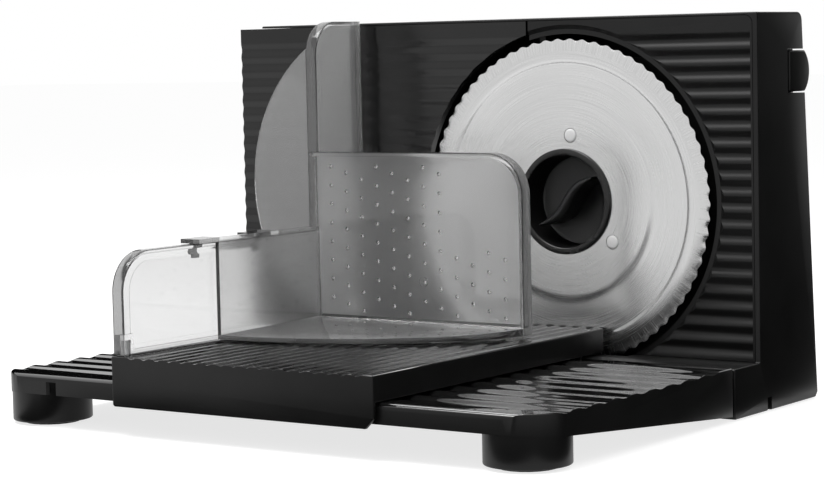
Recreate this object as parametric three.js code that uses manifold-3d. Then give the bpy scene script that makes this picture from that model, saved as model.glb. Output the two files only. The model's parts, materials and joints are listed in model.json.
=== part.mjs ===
// Domestic food slicer: ribbed casing, round blade, stop plate, tray, sliding carriage and pusher.
// Millimetres. +X to the right along the blade's face, +Y to the back, +Z up.
// The blade turns about X = 0, the rib crests of the front panel lie on Y = 0, the table is Z = 0.

import * as THREE from 'three';
import { mergeVertices } from 'three/addons/utils/BufferGeometryUtils.js';
import Module from 'manifold-3d';

const wasm = await Module();
wasm.setup();

// General fits
const gap = 0.3;
const slideGap = 0.7;
const wall = 2.5;
const cutOver = 1;
const fineSides = 96;
const roundSides = 40;
const smallSides = 16;
const screwSides = 12;
const cornerSteps = 8;

// Blade and its drive
const axisHeight = 104.5;
const bladeRadius = 85;
const bladeThickness = 1.2;
const bladeFront = -2;
const bladeWaves = 70;
const bladeWaveDepth = 1.1;
const bladeEdgeSteps = 4;
const bladeEdge = 0.4;
const bladeBevelWidth = 12.3;
const bladeBore = 26.3;
const rivetCircle = 34.8;
const rivetRadius = 3.5;
const rivetProud = 0.4;
const rivetAngles = [84, -36, -156];
const hubRadius = 42;
const hubThickness = 5.6;
const hubCupWall = 2.2;
const shaftRadius = 5;
const shaftFlangeThickness = 2.6;
const shaftTail = 1.5;
const gearRadius = 29;
const gearTeeth = 30;
const gearToothDepth = 2;
const toothTip = 0.14;
const toothFoot = 0.32;
const gearWidth = 9;
const bushWall = 3.7;
const frontBushLength = 10;
const rearBushLength = 7;
const bracketThickness = 3;
const bracketRim = 4;
const bracketReach = 42;
const bracketAngles = [20, 90, 160];
const postCircle = 36.5;
const postAngles = [30, 90, 150];
const postSet = 2;

// Blade lock knob
const knobRadius = 27.7;
const knobLip = 1.5;
const knobEdge = 0.5;
const knobRimWidth = 3.5;
const knobDish = 17.5;
const knobFloor = 2.2;
const knobBarLength = 40.5;
const knobBarWidth = 6;
const knobBarTip = 1.5;
const knobBarSweep = 2.1;
const knobBarAngle = 38;
const knobBarSet = 1.5;
const knobBarSteps = 10;

// Casing
const casingRight = 111.5;
const casingLeft = -202;
const roofTop = 200.5;
const roofThickness = 1.2;
const casingBottom = 0.6;
const rearTop = 49.8;
const rearBottom = 64.8;
const rearCorner = 2.5;
const rearRound = 4.5;
const plinthFront = -27;
const plinthTop = 25.7;
const chamberLeft = -42.5;
const chamberStep = 179;
const seamLap = 1.4;
const leftWallFront = 26;
const roofChamfer = 6;
const outletLeft = -178;
const outletRight = -47;
const outletTop = 114;
const outletFront = 30;
const cordNotchY = 10;
const cordNotchWidth = 4.6;
const cordNotchHeight = 6.7;
const cordNotchLength = 11;

// Front panel
const panelThickness = 11.5;
const panelSeam = -23;
const panelCorner = 4;
const panelBorder = 0.8;
const recessRadius = 87.5;
const recessFloor = 9;
const slotReach = 4;
const bossRadius = 14;

// Ribs of the front panel and the stop plate
const ribPitch = 8.2;
const ribCount = 20;
const ribDepth = 1.4;
const stopRibDepth = 0.7;
const ribTopHeight = 191.2;
const ribSteps = 8;

// Stop plate and thickness setting
const stopLeft = -217.6;
const stopThickness = 4.5;
const stopBottom = 28;
const stopHollow = 90.5;
const stopTravel = 15;
const stopSeam = 1;
const rodRadius = 4;
const rodDrop = 32.5;
const rodPlaces = [-186, -104];
const guideRadius = 7.5;
const dialX = -145;
const dialDrop = 54.5;
const dialRadius = 23;
const dialThickness = 12;
const dialShaftRadius = 5;
const dialBossRadius = 12;
const dialCap = 3;
const dialSkirt = 4;
const fluteCount = 12;
const fluteRadius = 1.6;
const fluteOffset = 0.6;
const fluteSides = 8;

// Push button and switch
const buttonWidth = 22;
const buttonDrop = 19.5;
const buttonHeight = 21;
const buttonFront = 36;
const buttonRear = 58.5;
const buttonBulge = 5.4;
const buttonTravel = 2;
const switchLength = 14.4;
const switchWidth = 15;
const switchHeight = 15;

// Motor
const motorDrop = 36;
const motorRadius = 19;
const motorStart = 38;
const motorEnd = 98;
const motorNoseRadius = 8;
const motorNoseLength = 4;
const wormRadius = 6.2;
const wormCore = 4.4;
const wormLength = 32;
const wormTurns = 5;
const wormPlainEnd = 3;
const wormSteps = 10;
const motorShaftRadius = 3;
const motorShaftStart = -24;
const fanRadius = 17;
const fanWidth = 6;
const fanBlades = 8;
const fanHubRadius = 7;
const fanPlate = 1.6;
const fanStandoff = 2;
const cradleWidth = 8;
const cradleWall = 1.9;
const cradleSole = 4;
const cradleRise = 7.6;
const cradleScrewLength = 7;
const wormSupportWidth = 16;
const wormSupportDepth = 5;
const cradlePlaces = [46, 82];
const terminalSize = [26, 14, 12];
const terminalMargin = 3;
const clampShares = [0.2, 0.5, 0.8];
const clampRadius = 2;
const clampDepth = 4;

// Tray
const trayLeft = -218;
const trayRear = -29;
const trayFront = -204.4;
const trayCrest = 26.5;
const trayWaveDepth = 1.2;
const trayWavePitch = 16.8;
const trayRearBand = 12;
const trayWaveSteps = 8;
const trayRearBottom = 2.4;
const trayFrontBottom = 16.8;
const trayCornerRadius = 20.6;
const trayLip = 2;
const trayScrewPlaces = [-150, 60];
const trayScrewHeight = 12;
const postRadius = 20.2;
const postBottom = 1.5;
const padRadius = 14;
const padHeight = 4.5;
const slotX = -178.5;
const slotWidth = 6.7;
const slotTop = 23.4;

// Carriage
const carriageLeft = -134;
const carriageRight = 24;
const carriageFront = -208;
const carriageRear = -5;
const deckTop = 39.5;
const deckThickness = 3.2;
const deckRibPitch = 8;
const deckRibDepth = 1.1;
const deckRibSteps = 4;
const deckLeftBorder = 9;
const deckRightBorder = 3;
const skirtBottom = 14.7;
const skirtChamfer = 4.8;
const sideSkirt = 1.5;
const finDepth = 5;

// Clear wall and thumb guard
const sheet = 2.2;
const wallInner = -127;
const wallFront = -206;
const wallRear = -7;
const wallLowTop = 90;
const wallTallTop = 201.5;
const wallTallFront = -48;
const wallFrontRound = 20;
const wallTallRound = 18;
const guardRadius = 91;
const guardX = -112;
const guardHeight = 112.6;
const wallBossWidth = 8;
const wallBossHeight = 10;
const wallBossCap = 2;
const wallBossPlaces = [-201.5, -18];
const wallScrewHead = 2.4;

// Pusher
const pusherRight = 9;
const pusherPlate = -52;
const pusherTop = 132.3;
const pusherRound = 21;
const pusherRim = 8;
const wingFront = -136;
const floorRise = 4;
const floorSteps = 12;
const hookPlaces = [[-151, -134], [-106, -86]];
const hookLip = 8;
const hookTabWidth = 4;
const spikePitch = 10;
const spikeDrop = spikePitch / 3;
const spikeColumns = 12;
const spikeTallColumns = 8;
const spikeShortTop = 82;
const spikeFirst = -116.5;
const spikeBase = 1.3;
const spikeLength = 2;
const spikeRoot = 0.4;
const spikeSides = 6;
const spikeFootMargin = 3;
const spikeTopMargin = 8;

// Screws and feet
const screwHead = 3.4;
const screwHeadHeight = 2.2;
const screwShank = 1.6;
const screwLength = 11;
const screwBoss = 4.6;
const screwBossHalf = 5.2;
const rearFootRadius = 9;
const rearFootHeight = 3.6;
const rearFootInset = [26, 21];
const coverThickness = 4.2;

// Places worked out from the sizes above
const panelRight = casingRight - wall - gap;
const roofUnder = roofTop - roofThickness;
const panelTop = roofUnder - gap;
const panelBottom = plinthTop + gap;
const bladeBack = bladeFront + bladeThickness;
const hubFront = bladeBack + gap;
const hubBack = hubFront + hubThickness;
const hubCupRadius = bladeBore + hubCupWall;
const knobFront = bladeFront - gap - knobLip;
const knobBack = knobFront + knobDish + knobFloor;
const flangeFront = knobBack + gap;
const flangeBack = flangeFront + shaftFlangeThickness;
const wellRadius = hubCupRadius + 2 * slideGap;
const wellFloor = flangeBack + slideGap;
const bossEnd = wellFloor + frontBushLength;
const gearMid = bossEnd + slideGap + gearWidth / 2;
const rearBushStart = gearMid + gearWidth / 2 + 2 * slideGap;
const shaftEnd = rearBushStart + rearBushLength + shaftTail;
const bushOuter = shaftRadius + gap + bushWall;
const motorHeight = axisHeight - motorDrop;
const coverTop = casingBottom + coverThickness;
const deckFoot = trayCrest + gap;
const skirtTop = deckTop - deckRibDepth;
const wallOuter = carriageLeft;
const wallFoot = deckTop + gap;
const wingOuter = wallInner + slideGap;
const floorBottom = deckTop + slideGap;
const rearSlope = (rearBottom - rearTop) / (roofTop - rearCorner);
const rearAt = (height) => rearTop + (roofTop - height) * rearSlope;
const rodHeight = roofTop - rodDrop;
const dialHeight = roofTop - dialDrop;
const buttonTop = roofTop - buttonDrop;
const buttonBottom = buttonTop - buttonHeight;
const rodTip = stopThickness + stopTravel + 2 * slideGap;
const guideEnd = rearAt(rodHeight) - 2 * wall - stopTravel - gap;
const radians = THREE.MathUtils.degToRad;

// Solids from three.js geometry, and their sums and differences

function solid(geometry) {
  const bare = new THREE.BufferGeometry();
  bare.setAttribute('position', geometry.getAttribute('position'));
  bare.setIndex(geometry.getIndex());
  const merged = mergeVertices(bare, 1e-4);
  return new wasm.Manifold(new wasm.Mesh({
    numProp: 3,
    vertProperties: new Float32Array(merged.getAttribute('position').array),
    triVerts: new Uint32Array(merged.getIndex().array),
  }));
}

const join = (...solids) => wasm.Manifold.union(solids);
const cut = (body, ...tools) => wasm.Manifold.difference([body, ...tools]);
const overlap = (...solids) => wasm.Manifold.intersection(solids);

function box(x0, x1, y0, y1, z0, z1) {
  const geometry = new THREE.BoxGeometry(x1 - x0, y1 - y0, z1 - z0);
  geometry.translate((x0 + x1) / 2, (y0 + y1) / 2, (z0 + z1) / 2);
  return solid(geometry);
}

function asShape(outline) {
  if (outline instanceof THREE.Shape) return outline;
  return new THREE.Shape(outline.map((p) => new THREE.Vector2(...p)));
}

function extrude(outline, depth) {
  const settings = { depth, bevelEnabled: false, curveSegments: cornerSteps };
  return new THREE.ExtrudeGeometry(asShape(outline), settings);
}

// Outline given as (y, z), run from x0 to x1
function prismX(outline, x0, x1) {
  const geometry = extrude(outline, x1 - x0);
  const turn = new THREE.Matrix4().makeBasis(
    new THREE.Vector3(0, 1, 0), new THREE.Vector3(0, 0, 1), new THREE.Vector3(1, 0, 0));
  geometry.applyMatrix4(turn);
  geometry.translate(x0, 0, 0);
  return solid(geometry);
}

// Outline given as (x, z), run from y0 to y1
function prismY(outline, y0, y1) {
  const geometry = extrude(outline, y1 - y0);
  geometry.rotateX(Math.PI / 2);
  geometry.translate(0, y1, 0);
  return solid(geometry);
}

// Outline given as (x, y), run from z0 to z1
function prismZ(outline, z0, z1) {
  const geometry = extrude(outline, z1 - z0);
  geometry.translate(0, 0, z0);
  return solid(geometry);
}

function rodX(radius, x0, x1, y, z, sides = smallSides) {
  const geometry = new THREE.CylinderGeometry(radius, radius, x1 - x0, sides);
  geometry.rotateZ(-Math.PI / 2);
  geometry.translate((x0 + x1) / 2, y, z);
  return solid(geometry);
}

function rodY(radius, y0, y1, x, z, sides = smallSides) {
  const geometry = new THREE.CylinderGeometry(radius, radius, y1 - y0, sides);
  geometry.translate(x, (y0 + y1) / 2, z);
  return solid(geometry);
}

function rodZ(radius, z0, z1, x, y, sides = smallSides) {
  const geometry = new THREE.CylinderGeometry(radius, radius, z1 - z0, sides);
  geometry.rotateX(Math.PI / 2);
  geometry.translate(x, y, (z0 + z1) / 2);
  return solid(geometry);
}

// Profile given as (radius, y), turned about the Y line through x, z
function turnedY(profile, x, z, sides) {
  const geometry = new THREE.LatheGeometry(profile.map((p) => new THREE.Vector2(...p)), sides);
  geometry.translate(x, 0, z);
  const body = solid(geometry);
  return body.volume() < 0 ? solid(flipped(geometry)) : body;
}

function flipped(geometry) {
  const copy = geometry.clone();
  const index = copy.getIndex();
  for (let i = 0; i < index.count; i += 3) {
    const first = index.getX(i);
    index.setX(i, index.getX(i + 1));
    index.setX(i + 1, first);
  }
  return copy;
}

const polar = (radius, degrees) => [radius * Math.cos(radians(degrees)), radius * Math.sin(radians(degrees))];

// A row of smooth waves along u, from crest value down by depth, as outline points
function waves(start, count, pitch, crest, depth, steps) {
  const points = [];
  for (let i = 0; i <= count * steps; i += 1) {
    const turn = (2 * Math.PI * i) / steps;
    points.push([start + (i * pitch) / steps, crest - (depth * (1 - Math.cos(turn))) / 2]);
  }
  return points;
}

function roundedBox2(u0, u1, v0, v1, corners) {
  const [lowLeft, lowRight, topRight, topLeft] = corners;
  const shape = new THREE.Shape();
  shape.moveTo(u0 + lowLeft, v0);
  shape.lineTo(u1 - lowRight, v0);
  if (lowRight) shape.absarc(u1 - lowRight, v0 + lowRight, lowRight, -Math.PI / 2, 0);
  shape.lineTo(u1, v1 - topRight);
  if (topRight) shape.absarc(u1 - topRight, v1 - topRight, topRight, 0, Math.PI / 2);
  shape.lineTo(u0 + topLeft, v1);
  if (topLeft) shape.absarc(u0 + topLeft, v1 - topLeft, topLeft, Math.PI / 2, Math.PI);
  shape.lineTo(u0, v0 + lowLeft);
  if (lowLeft) shape.absarc(u0 + lowLeft, v0 + lowLeft, lowLeft, Math.PI, 1.5 * Math.PI);
  return shape;
}

// Finishes

const finish = {
  blackPlastic: { color: 0x1a1a1b, roughness: 0.35, metalness: 0 },
  clearPlastic: { color: 0xb9bbbd, roughness: 0.15, metalness: 0, transparent: true, opacity: 0.35 },
  steel: { color: 0xc9cacb, roughness: 0.3, metalness: 1 },
  darkSteel: { color: 0x6c6e70, roughness: 0.45, metalness: 1 },
  nylon: { color: 0xeeeeea, roughness: 0.5, metalness: 0 },
  brass: { color: 0xb79a55, roughness: 0.4, metalness: 1 },
  rubber: { color: 0x242424, roughness: 0.9, metalness: 0 },
};

function node(name, body, look) {
  const mesh = body.getMesh();
  const geometry = new THREE.BufferGeometry();
  geometry.setAttribute('position', new THREE.BufferAttribute(new Float32Array(mesh.vertProperties), 3));
  geometry.setIndex(new THREE.BufferAttribute(new Uint32Array(mesh.triVerts), 1));
  geometry.computeVertexNormals();
  const part = new THREE.Mesh(geometry, new THREE.MeshStandardMaterial(finish[look]));
  part.name = name;
  return part;
}

// A screw with its head at start, its shank running along +axis or -axis
function screw(axis, place, direction, headRadius = screwHead, length = screwLength) {
  const rod = { x: rodX, y: rodY, z: rodZ }[axis];
  const [a, b, start] = place;
  const span = (from, to) => (direction > 0 ? [start + from, start + to] : [start - to, start - from]);
  const head = rod(headRadius, ...span(0, screwHeadHeight), a, b, screwSides);
  const shank = rod(screwShank, ...span(screwHeadHeight - gap, screwHeadHeight + length), a, b, screwSides);
  return join(head, shank);
}

const screwHole = screwShank + gap;

// Casing

const bottomScrewPlaces = [
  [casingLeft + wall + screwBoss, plinthFront + wall + screwBoss],
  [casingLeft + wall + screwBoss, rearAt(coverTop) - wall - screwBossHalf],
  [casingRight - wall - screwBoss, plinthFront + wall + screwBoss],
  [casingRight - wall - screwBoss, rearAt(coverTop) - wall - screwBossHalf],
];
const rearFootPlaces = [
  [casingLeft + rearFootInset[0], rearBottom - rearFootInset[1]],
  [casingRight - rearFootInset[0], rearBottom - rearFootInset[1]],
];

// Outline of the casing seen from the right, as (y, z)
function outerSide() {
  const shape = asShape([
    [0, roofTop], [0, plinthTop], [plinthFront, plinthTop], [plinthFront, casingBottom],
    [rearBottom - rearCorner, casingBottom], [rearBottom, casingBottom + rearCorner],
  ]);
  const roundStart = roofTop - rearRound;
  shape.lineTo(rearAt(roundStart), roundStart);
  shape.quadraticCurveTo(rearTop, roofTop, rearTop - rearRound, roofTop);
  return shape;
}

// The room inside the casing, open to the front above the plinth and open below
function innerSide(inset) {
  const shelf = panelThickness + gap;
  return [
    [-cutOver, roofUnder], [-cutOver, plinthTop], [shelf, plinthTop], [shelf, plinthTop - inset],
    [plinthFront + inset, plinthTop - inset], [plinthFront + inset, casingBottom - cutOver],
    [rearBottom - inset, casingBottom - cutOver], [rearBottom - inset, casingBottom + rearCorner],
    [rearTop - inset, roofUnder],
  ];
}

// The closed chamber of motor and gear seen from the front, as (x, z)
function chamberOutline(inset) {
  const left = chamberLeft + inset;
  const stepLeft = panelSeam + seamLap + inset;
  const right = casingRight - inset;
  const round = inset > 0 ? panelCorner + gap : 0;
  const top = inset > 0 ? roofUnder : roofTop;
  const shape = new THREE.Shape();
  shape.moveTo(left, casingBottom - cutOver);
  shape.lineTo(right, casingBottom - cutOver);
  shape.lineTo(right, top - round);
  if (round) shape.absarc(right - round, top - round, round, 0, Math.PI / 2);
  shape.lineTo(stepLeft, top);
  shape.lineTo(stepLeft, chamberStep - inset);
  shape.lineTo(left, chamberStep - inset);
  return shape;
}

function leftSpace() {
  const room = box(casingLeft + wall, panelSeam + gap, -cutOver, rearBottom, plinthTop, roofUnder);
  const chamber = prismY(chamberOutline(0), -2 * cutOver, rearBottom + cutOver);
  return overlap(cut(room, chamber), prismX(innerSide(wall), casingLeft, panelSeam + cutOver));
}

function buttonOpening() {
  const left = casingRight - buttonWidth - slideGap;
  const front = buttonFront - buttonTravel - slideGap;
  return box(left, casingRight + cutOver, front, rearBottom,
    buttonBottom - slideGap, buttonTop + slideGap);
}

// Outlet for the mains lead, through the side wall and the edge of the bottom cover
function cordNotch() {
  const half = cordNotchWidth / 2;
  return box(casingRight - cordNotchLength, casingRight + cutOver, cordNotchY - half, cordNotchY + half,
    casingBottom - cutOver, casingBottom + cordNotchHeight);
}

function mainCasing() {
  const shell = prismX(outerSide(), casingLeft, casingRight);
  const inside = prismX(innerSide(wall), casingLeft, casingRight);
  const chamber = overlap(inside, prismY(chamberOutline(wall), plinthFront, rearBottom));
  const panelRoom = box(chamberLeft - cutOver, panelSeam + 2 * wall, -cutOver, panelThickness + gap,
    plinthTop, roofUnder);
  const bladeSlot = rodY(recessRadius, bladeFront - slotReach, panelThickness + 2 * gap, 0, axisHeight,
    fineSides);
  const base = box(casingLeft + wall, casingRight - wall, plinthFront + wall, rearBottom,
    0, plinthTop - wall);
  const baseRoom = overlap(inside, base);
  const leftEnd = box(casingLeft - cutOver, casingLeft + wall + cutOver, -cutOver, leftWallFront,
    plinthTop, roofUnder);
  const outlet = box(outletLeft, outletRight, outletFront, rearBottom + cutOver, plinthTop, outletTop);
  const roofCorner = prismY([
    [casingLeft - cutOver, roofTop + cutOver], [casingLeft - cutOver, roofTop - roofChamfer],
    [casingLeft, roofTop - roofChamfer / 2], [casingLeft + roofChamfer, roofTop + cutOver],
  ], -cutOver, rearBottom);
  const hollow = cut(shell, chamber, panelRoom, bladeSlot, baseRoom, leftSpace(), leftEnd, outlet,
    cordNotch(), roofCorner, buttonOpening());
  const bosses = bottomScrewPlaces.map(([x, y]) => box(x - screwBossHalf, x + screwBossHalf,
    y - screwBossHalf, y + screwBossHalf, coverTop + gap, plinthTop - wall + gap));
  const dialWall = rearAt(dialHeight);
  const dialPad = rodY(dialBossRadius, dialWall - wall, dialWall + wall, dialX, dialHeight, roundSides);
  const rodSeats = rodPlaces.map((x) => rodY(guideRadius, rearAt(rodHeight) - 2 * wall,
    rearAt(rodHeight) - wall / 2, x, rodHeight));
  const bottomHoles = bottomScrewPlaces.map(([x, y]) => rodZ(screwHole, casingBottom,
    coverTop + screwLength, x, y, screwSides));
  const rodHoles = rodPlaces.map((x) => rodY(rodRadius + gap, rodTip, rearAt(rodHeight) - wall / 2,
    x, rodHeight));
  const dialHole = rodY(dialShaftRadius + gap, 0, rearBottom + cutOver, dialX, dialHeight);
  const trayHoles = trayScrewPlaces.map((x) => rodY(screwHole, plinthFront - cutOver,
    plinthFront + wall + cutOver, x, trayScrewHeight, screwSides));
  const solidParts = join(hollow, ...bosses, dialPad, ...rodSeats);
  return cut(solidParts, ...bottomHoles, ...rodHoles, dialHole, ...trayHoles);
}

// Front panel

const postPlaces = postAngles.map((degrees) => polar(postCircle, degrees));
const postEnd = rearBushStart + postSet;

function panelOutline() {
  return roundedBox2(panelSeam + gap, panelRight, panelBottom, panelTop, [0, 0, panelCorner, 0]);
}

// Waves as a cutter that leaves the ribs standing, front edge on Y = 0
function ribCutter(x0, x1, depth) {
  const crests = waves(ribTopHeight - ribCount * ribPitch, ribCount, ribPitch, 0, depth, ribSteps);
  const outline = crests.map(([height, level]) => [-level, height]);
  outline.push([-cutOver, ribTopHeight], [-cutOver, ribTopHeight - ribCount * ribPitch]);
  return prismX(outline, x0, x1);
}

function frontPanel() {
  const disc = rodY(recessRadius + wall, 0, panelThickness, 0, axisHeight, fineSides);
  const discPart = overlap(disc, box(chamberLeft, panelRight, 0, panelThickness, panelBottom, chamberStep));
  const plate = join(prismY(panelOutline(), 0, panelThickness), discPart);
  const ribs = ribCutter(panelSeam - cutOver, panelRight - panelBorder, ribDepth);
  const rimRadius = recessRadius + wall;
  const ribArea = cut(ribs, rodY(rimRadius, -cutOver, panelThickness, 0, axisHeight, fineSides));
  const recess = rodY(recessRadius, -cutOver, recessFloor, 0, axisHeight, fineSides);
  const relief = cut(
    box(panelSeam - cutOver, panelRight + cutOver, ribDepth + wall, panelThickness + cutOver,
      0, roofTop),
    rodY(rimRadius, 0, panelThickness + 2 * cutOver, 0, axisHeight, fineSides));
  const face = cut(plate, ribArea, recess, relief);
  const well = rodY(wellRadius, -cutOver, wellFloor, 0, axisHeight, roundSides);
  const wellWall = rodY(wellRadius + wall, recessFloor, wellFloor + wall, 0, axisHeight, roundSides);
  const boss = rodY(bossRadius, wellFloor, bossEnd, 0, axisHeight, roundSides);
  const posts = postPlaces.map(([x, z]) => rodY(screwBoss, recessFloor, postEnd, x, axisHeight + z));
  const postHoles = postPlaces.map(([x, z]) => rodY(screwHole, postEnd - screwLength, postEnd + cutOver,
    x, axisHeight + z, screwSides));
  const bore = rodY(bushOuter + gap, wellFloor - cutOver, bossEnd + cutOver, 0, axisHeight, roundSides);
  return cut(join(face, wellWall, boss, ...posts), well, bore, ...postHoles);
}

// Blade, hub, rivets, shaft and gear

function blade() {
  const innerRadius = bladeRadius - bladeBevelWidth;
  const body = turnedY([
    [bladeBore, bladeFront], [innerRadius, bladeFront],
    [bladeRadius + bladeWaveDepth, bladeBack - bladeEdge],
    [bladeRadius + bladeWaveDepth, bladeBack], [bladeBore, bladeBack], [bladeBore, bladeFront],
  ], 0, axisHeight, fineSides / 2);
  const edge = [];
  const steps = bladeWaves * bladeEdgeSteps;
  for (let i = 0; i < steps; i += 1) {
    const turn = (2 * Math.PI * i) / steps;
    const radius = bladeRadius - (bladeWaveDepth * (1 - Math.cos(bladeWaves * turn))) / 2;
    edge.push([radius * Math.cos(turn), axisHeight + radius * Math.sin(turn)]);
  }
  const waved = overlap(body, prismY(edge, bladeFront - cutOver, bladeBack + cutOver));
  return cut(waved, ...rivetRods(rivetRadius + gap, bladeFront - cutOver, bladeBack + cutOver));
}

function rivetRods(radius, y0, y1) {
  return rivetAngles.map((degrees) => {
    const [x, z] = polar(rivetCircle, degrees);
    return rodY(radius, y0, y1, x, axisHeight + z, smallSides);
  });
}

function bladeHub() {
  const disc = rodY(hubRadius, hubFront, hubBack, 0, axisHeight, fineSides / 2);
  const cup = rodY(hubCupRadius, hubFront, knobBack, 0, axisHeight, roundSides);
  const bore = rodY(bladeBore, hubFront - cutOver, knobBack + cutOver, 0, axisHeight, roundSides);
  const rivetHoles = rivetRods(rivetRadius + gap, hubFront - cutOver, hubBack + cutOver);
  return cut(join(disc, cup), bore, ...rivetHoles);
}

function bladeShaft() {
  return turnedY([
    [0, flangeFront], [hubCupRadius, flangeFront], [hubCupRadius, flangeBack],
    [shaftRadius, flangeBack], [shaftRadius, shaftEnd], [0, shaftEnd],
  ], 0, axisHeight, roundSides);
}

function bush(start, length) {
  const end = start + length;
  const ring = rodY(bushOuter, start, end, 0, axisHeight, roundSides);
  return cut(ring, rodY(shaftRadius + gap, start - cutOver, end + cutOver, 0, axisHeight, roundSides));
}

function toothedOutline(radius, depth, teeth) {
  const points = [];
  const shares = [[-toothFoot, -depth], [-toothTip, 0], [toothTip, 0], [toothFoot, -depth]];
  for (let i = 0; i < teeth; i += 1) {
    shares.forEach(([share, level]) => {
      const [x, z] = polar(radius + level, ((i + share) * 360) / teeth);
      points.push([x, axisHeight + z]);
    });
  }
  return points;
}

function driveGear() {
  const from = gearMid - gearWidth / 2;
  const to = gearMid + gearWidth / 2;
  const wheel = prismY(toothedOutline(gearRadius, gearToothDepth, gearTeeth), from, to);
  return cut(wheel, rodY(shaftRadius + gap, from - cutOver, to + cutOver, 0, axisHeight, roundSides));
}

function gearBracket() {
  const from = postEnd + gap;
  const to = from + bracketThickness;
  const foot = bushOuter + bracketRim;
  const upper = bracketAngles.map((degrees) => polar(bracketReach, degrees));
  const corners = [[-foot, -foot], [foot, -foot], ...upper];
  const outline = corners.map(([x, z]) => [x, axisHeight + z]);
  const arms = postPlaces.map(([x, z]) => rodY(screwBossHalf, from, to, x, axisHeight + z));
  const middle = rodY(foot, from, to, 0, axisHeight, roundSides);
  const plate = prismY(outline, from, to);
  const holes = postPlaces.map(([x, z]) => rodY(screwHole, from - cutOver, to + cutOver,
    x, axisHeight + z, screwSides));
  const bore = rodY(bushOuter + gap, from - cutOver, to + cutOver, 0, axisHeight, roundSides);
  return cut(join(plate, middle, ...arms), bore, ...holes);
}

function lockKnob() {
  const lipBack = knobFront + knobLip;
  const body = turnedY([
    [0, knobBack], [bladeBore - gap, knobBack], [bladeBore - gap, lipBack], [knobRadius, lipBack],
    [knobRadius, knobFront + knobEdge], [knobRadius - knobEdge, knobFront], [0, knobFront],
  ], 0, axisHeight, fineSides / 2);
  const dishRadius = knobRadius - knobRimWidth;
  const dishFloor = knobFront + knobDish;
  const dish = rodY(dishRadius, knobFront - cutOver, dishFloor, 0, axisHeight, roundSides);
  const bar = [];
  [1, -1].forEach((side) => {
    for (let i = 0; i <= knobBarSteps; i += 1) {
      const along = side * (i / knobBarSteps - 0.5);
      const bend = knobBarSweep * Math.sin(2 * Math.PI * along);
      const width = knobBarWidth + (knobBarTip - knobBarWidth) * (2 * along) ** 2;
      bar.push([along * knobBarLength, bend - (side * width) / 2]);
    }
  });
  const turn = (p) => {
    const angle = radians(knobBarAngle);
    return [p[0] * Math.cos(angle) - p[1] * Math.sin(angle),
      axisHeight + p[0] * Math.sin(angle) + p[1] * Math.cos(angle)];
  };
  const grip = prismY(bar.map(turn), knobFront + knobBarSet, dishFloor + gap);
  return join(cut(body, dish), grip);
}

// Motor with worm and fan

function motorCan() {
  const can = rodX(motorRadius, motorStart, motorEnd, gearMid, motorHeight, roundSides);
  const noseStart = motorStart - motorNoseLength;
  const nose = rodX(motorNoseRadius, noseStart, motorStart + cutOver, gearMid, motorHeight, roundSides);
  const bore = rodX(motorShaftRadius + gap, noseStart - cutOver, motorEnd + cutOver, gearMid, motorHeight);
  return cut(join(can, nose), bore);
}

function motorShaft() {
  const fanEnd = motorEnd + fanStandoff + fanWidth;
  const rod = rodX(motorShaftRadius, motorShaftStart, fanEnd, gearMid, motorHeight);
  const core = rodX(wormCore, -wormLength / 2, wormLength / 2, gearMid, motorHeight, roundSides / 2);
  return join(rod, core, wormThread());
}

// One raised thread wound round the worm's core
function wormThread() {
  const steps = wormTurns * wormSteps;
  const usable = wormLength - 2 * wormPlainEnd;
  const points = [];
  for (let i = 0; i <= steps; i += 1) {
    const turn = (2 * Math.PI * i) / wormSteps;
    points.push(new THREE.Vector3((usable * i) / steps - usable / 2,
      gearMid + wormCore * Math.cos(turn), motorHeight + wormCore * Math.sin(turn)));
  }
  const ridge = new THREE.Shape();
  ridge.absarc(0, 0, wormRadius - wormCore, 0, 2 * Math.PI);
  const path = new THREE.CatmullRomCurve3(points);
  return solid(new THREE.ExtrudeGeometry(ridge, { steps, extrudePath: path, curveSegments: 3 }));
}

function motorFan() {
  const from = motorEnd + fanStandoff;
  const hub = rodX(fanHubRadius, from, from + fanWidth, gearMid, motorHeight, roundSides / 2);
  const plate = rodX(fanRadius, from, from + fanPlate, gearMid, motorHeight, roundSides);
  const vanes = [];
  for (let i = 0; i < fanBlades; i += 1) {
    const vane = box(from, from + fanWidth, -fanPlate / 2, fanPlate / 2, fanHubRadius - fanPlate,
      fanRadius - gap);
    vanes.push(vane.rotate([(360 * i) / fanBlades, 0, 0]).translate([0, gearMid, motorHeight]));
  }
  const bore = rodX(motorShaftRadius + gap, from - cutOver, from + fanWidth + cutOver, gearMid, motorHeight);
  return cut(join(hub, plate, ...vanes), bore);
}

const cradleHalf = motorRadius + cradleWall;
const cradleFlange = 2 * (screwHead + gap);
const cradleScrewPlaces = cradlePlaces.map((x) => [
  x + cradleWidth / 2, gearMid - cradleHalf - cradleFlange / 2,
]);

function motorCradle() {
  const floor = coverTop + gap;
  const soleTop = floor + cradleSole;
  const rim = motorHeight + cradleRise;
  const saddles = cradlePlaces.map((x) => box(x, x + cradleWidth, gearMid - cradleHalf,
    gearMid + cradleHalf, floor, rim));
  const tail = cradlePlaces[1] + cradleWidth;
  const sole = box(cradlePlaces[0], tail, gearMid - cradleHalf - cradleFlange, gearMid + cradleHalf,
    floor, soleTop);
  const seat = rodX(motorRadius + gap, cradlePlaces[0] - cutOver, tail + cutOver, gearMid, motorHeight,
    roundSides);
  const holes = cradleScrewPlaces.map(([x, y]) => rodZ(screwHole, floor - cutOver, soleTop + cutOver,
    x, y, screwSides));
  return cut(join(...saddles, sole), seat, ...holes);
}

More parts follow.
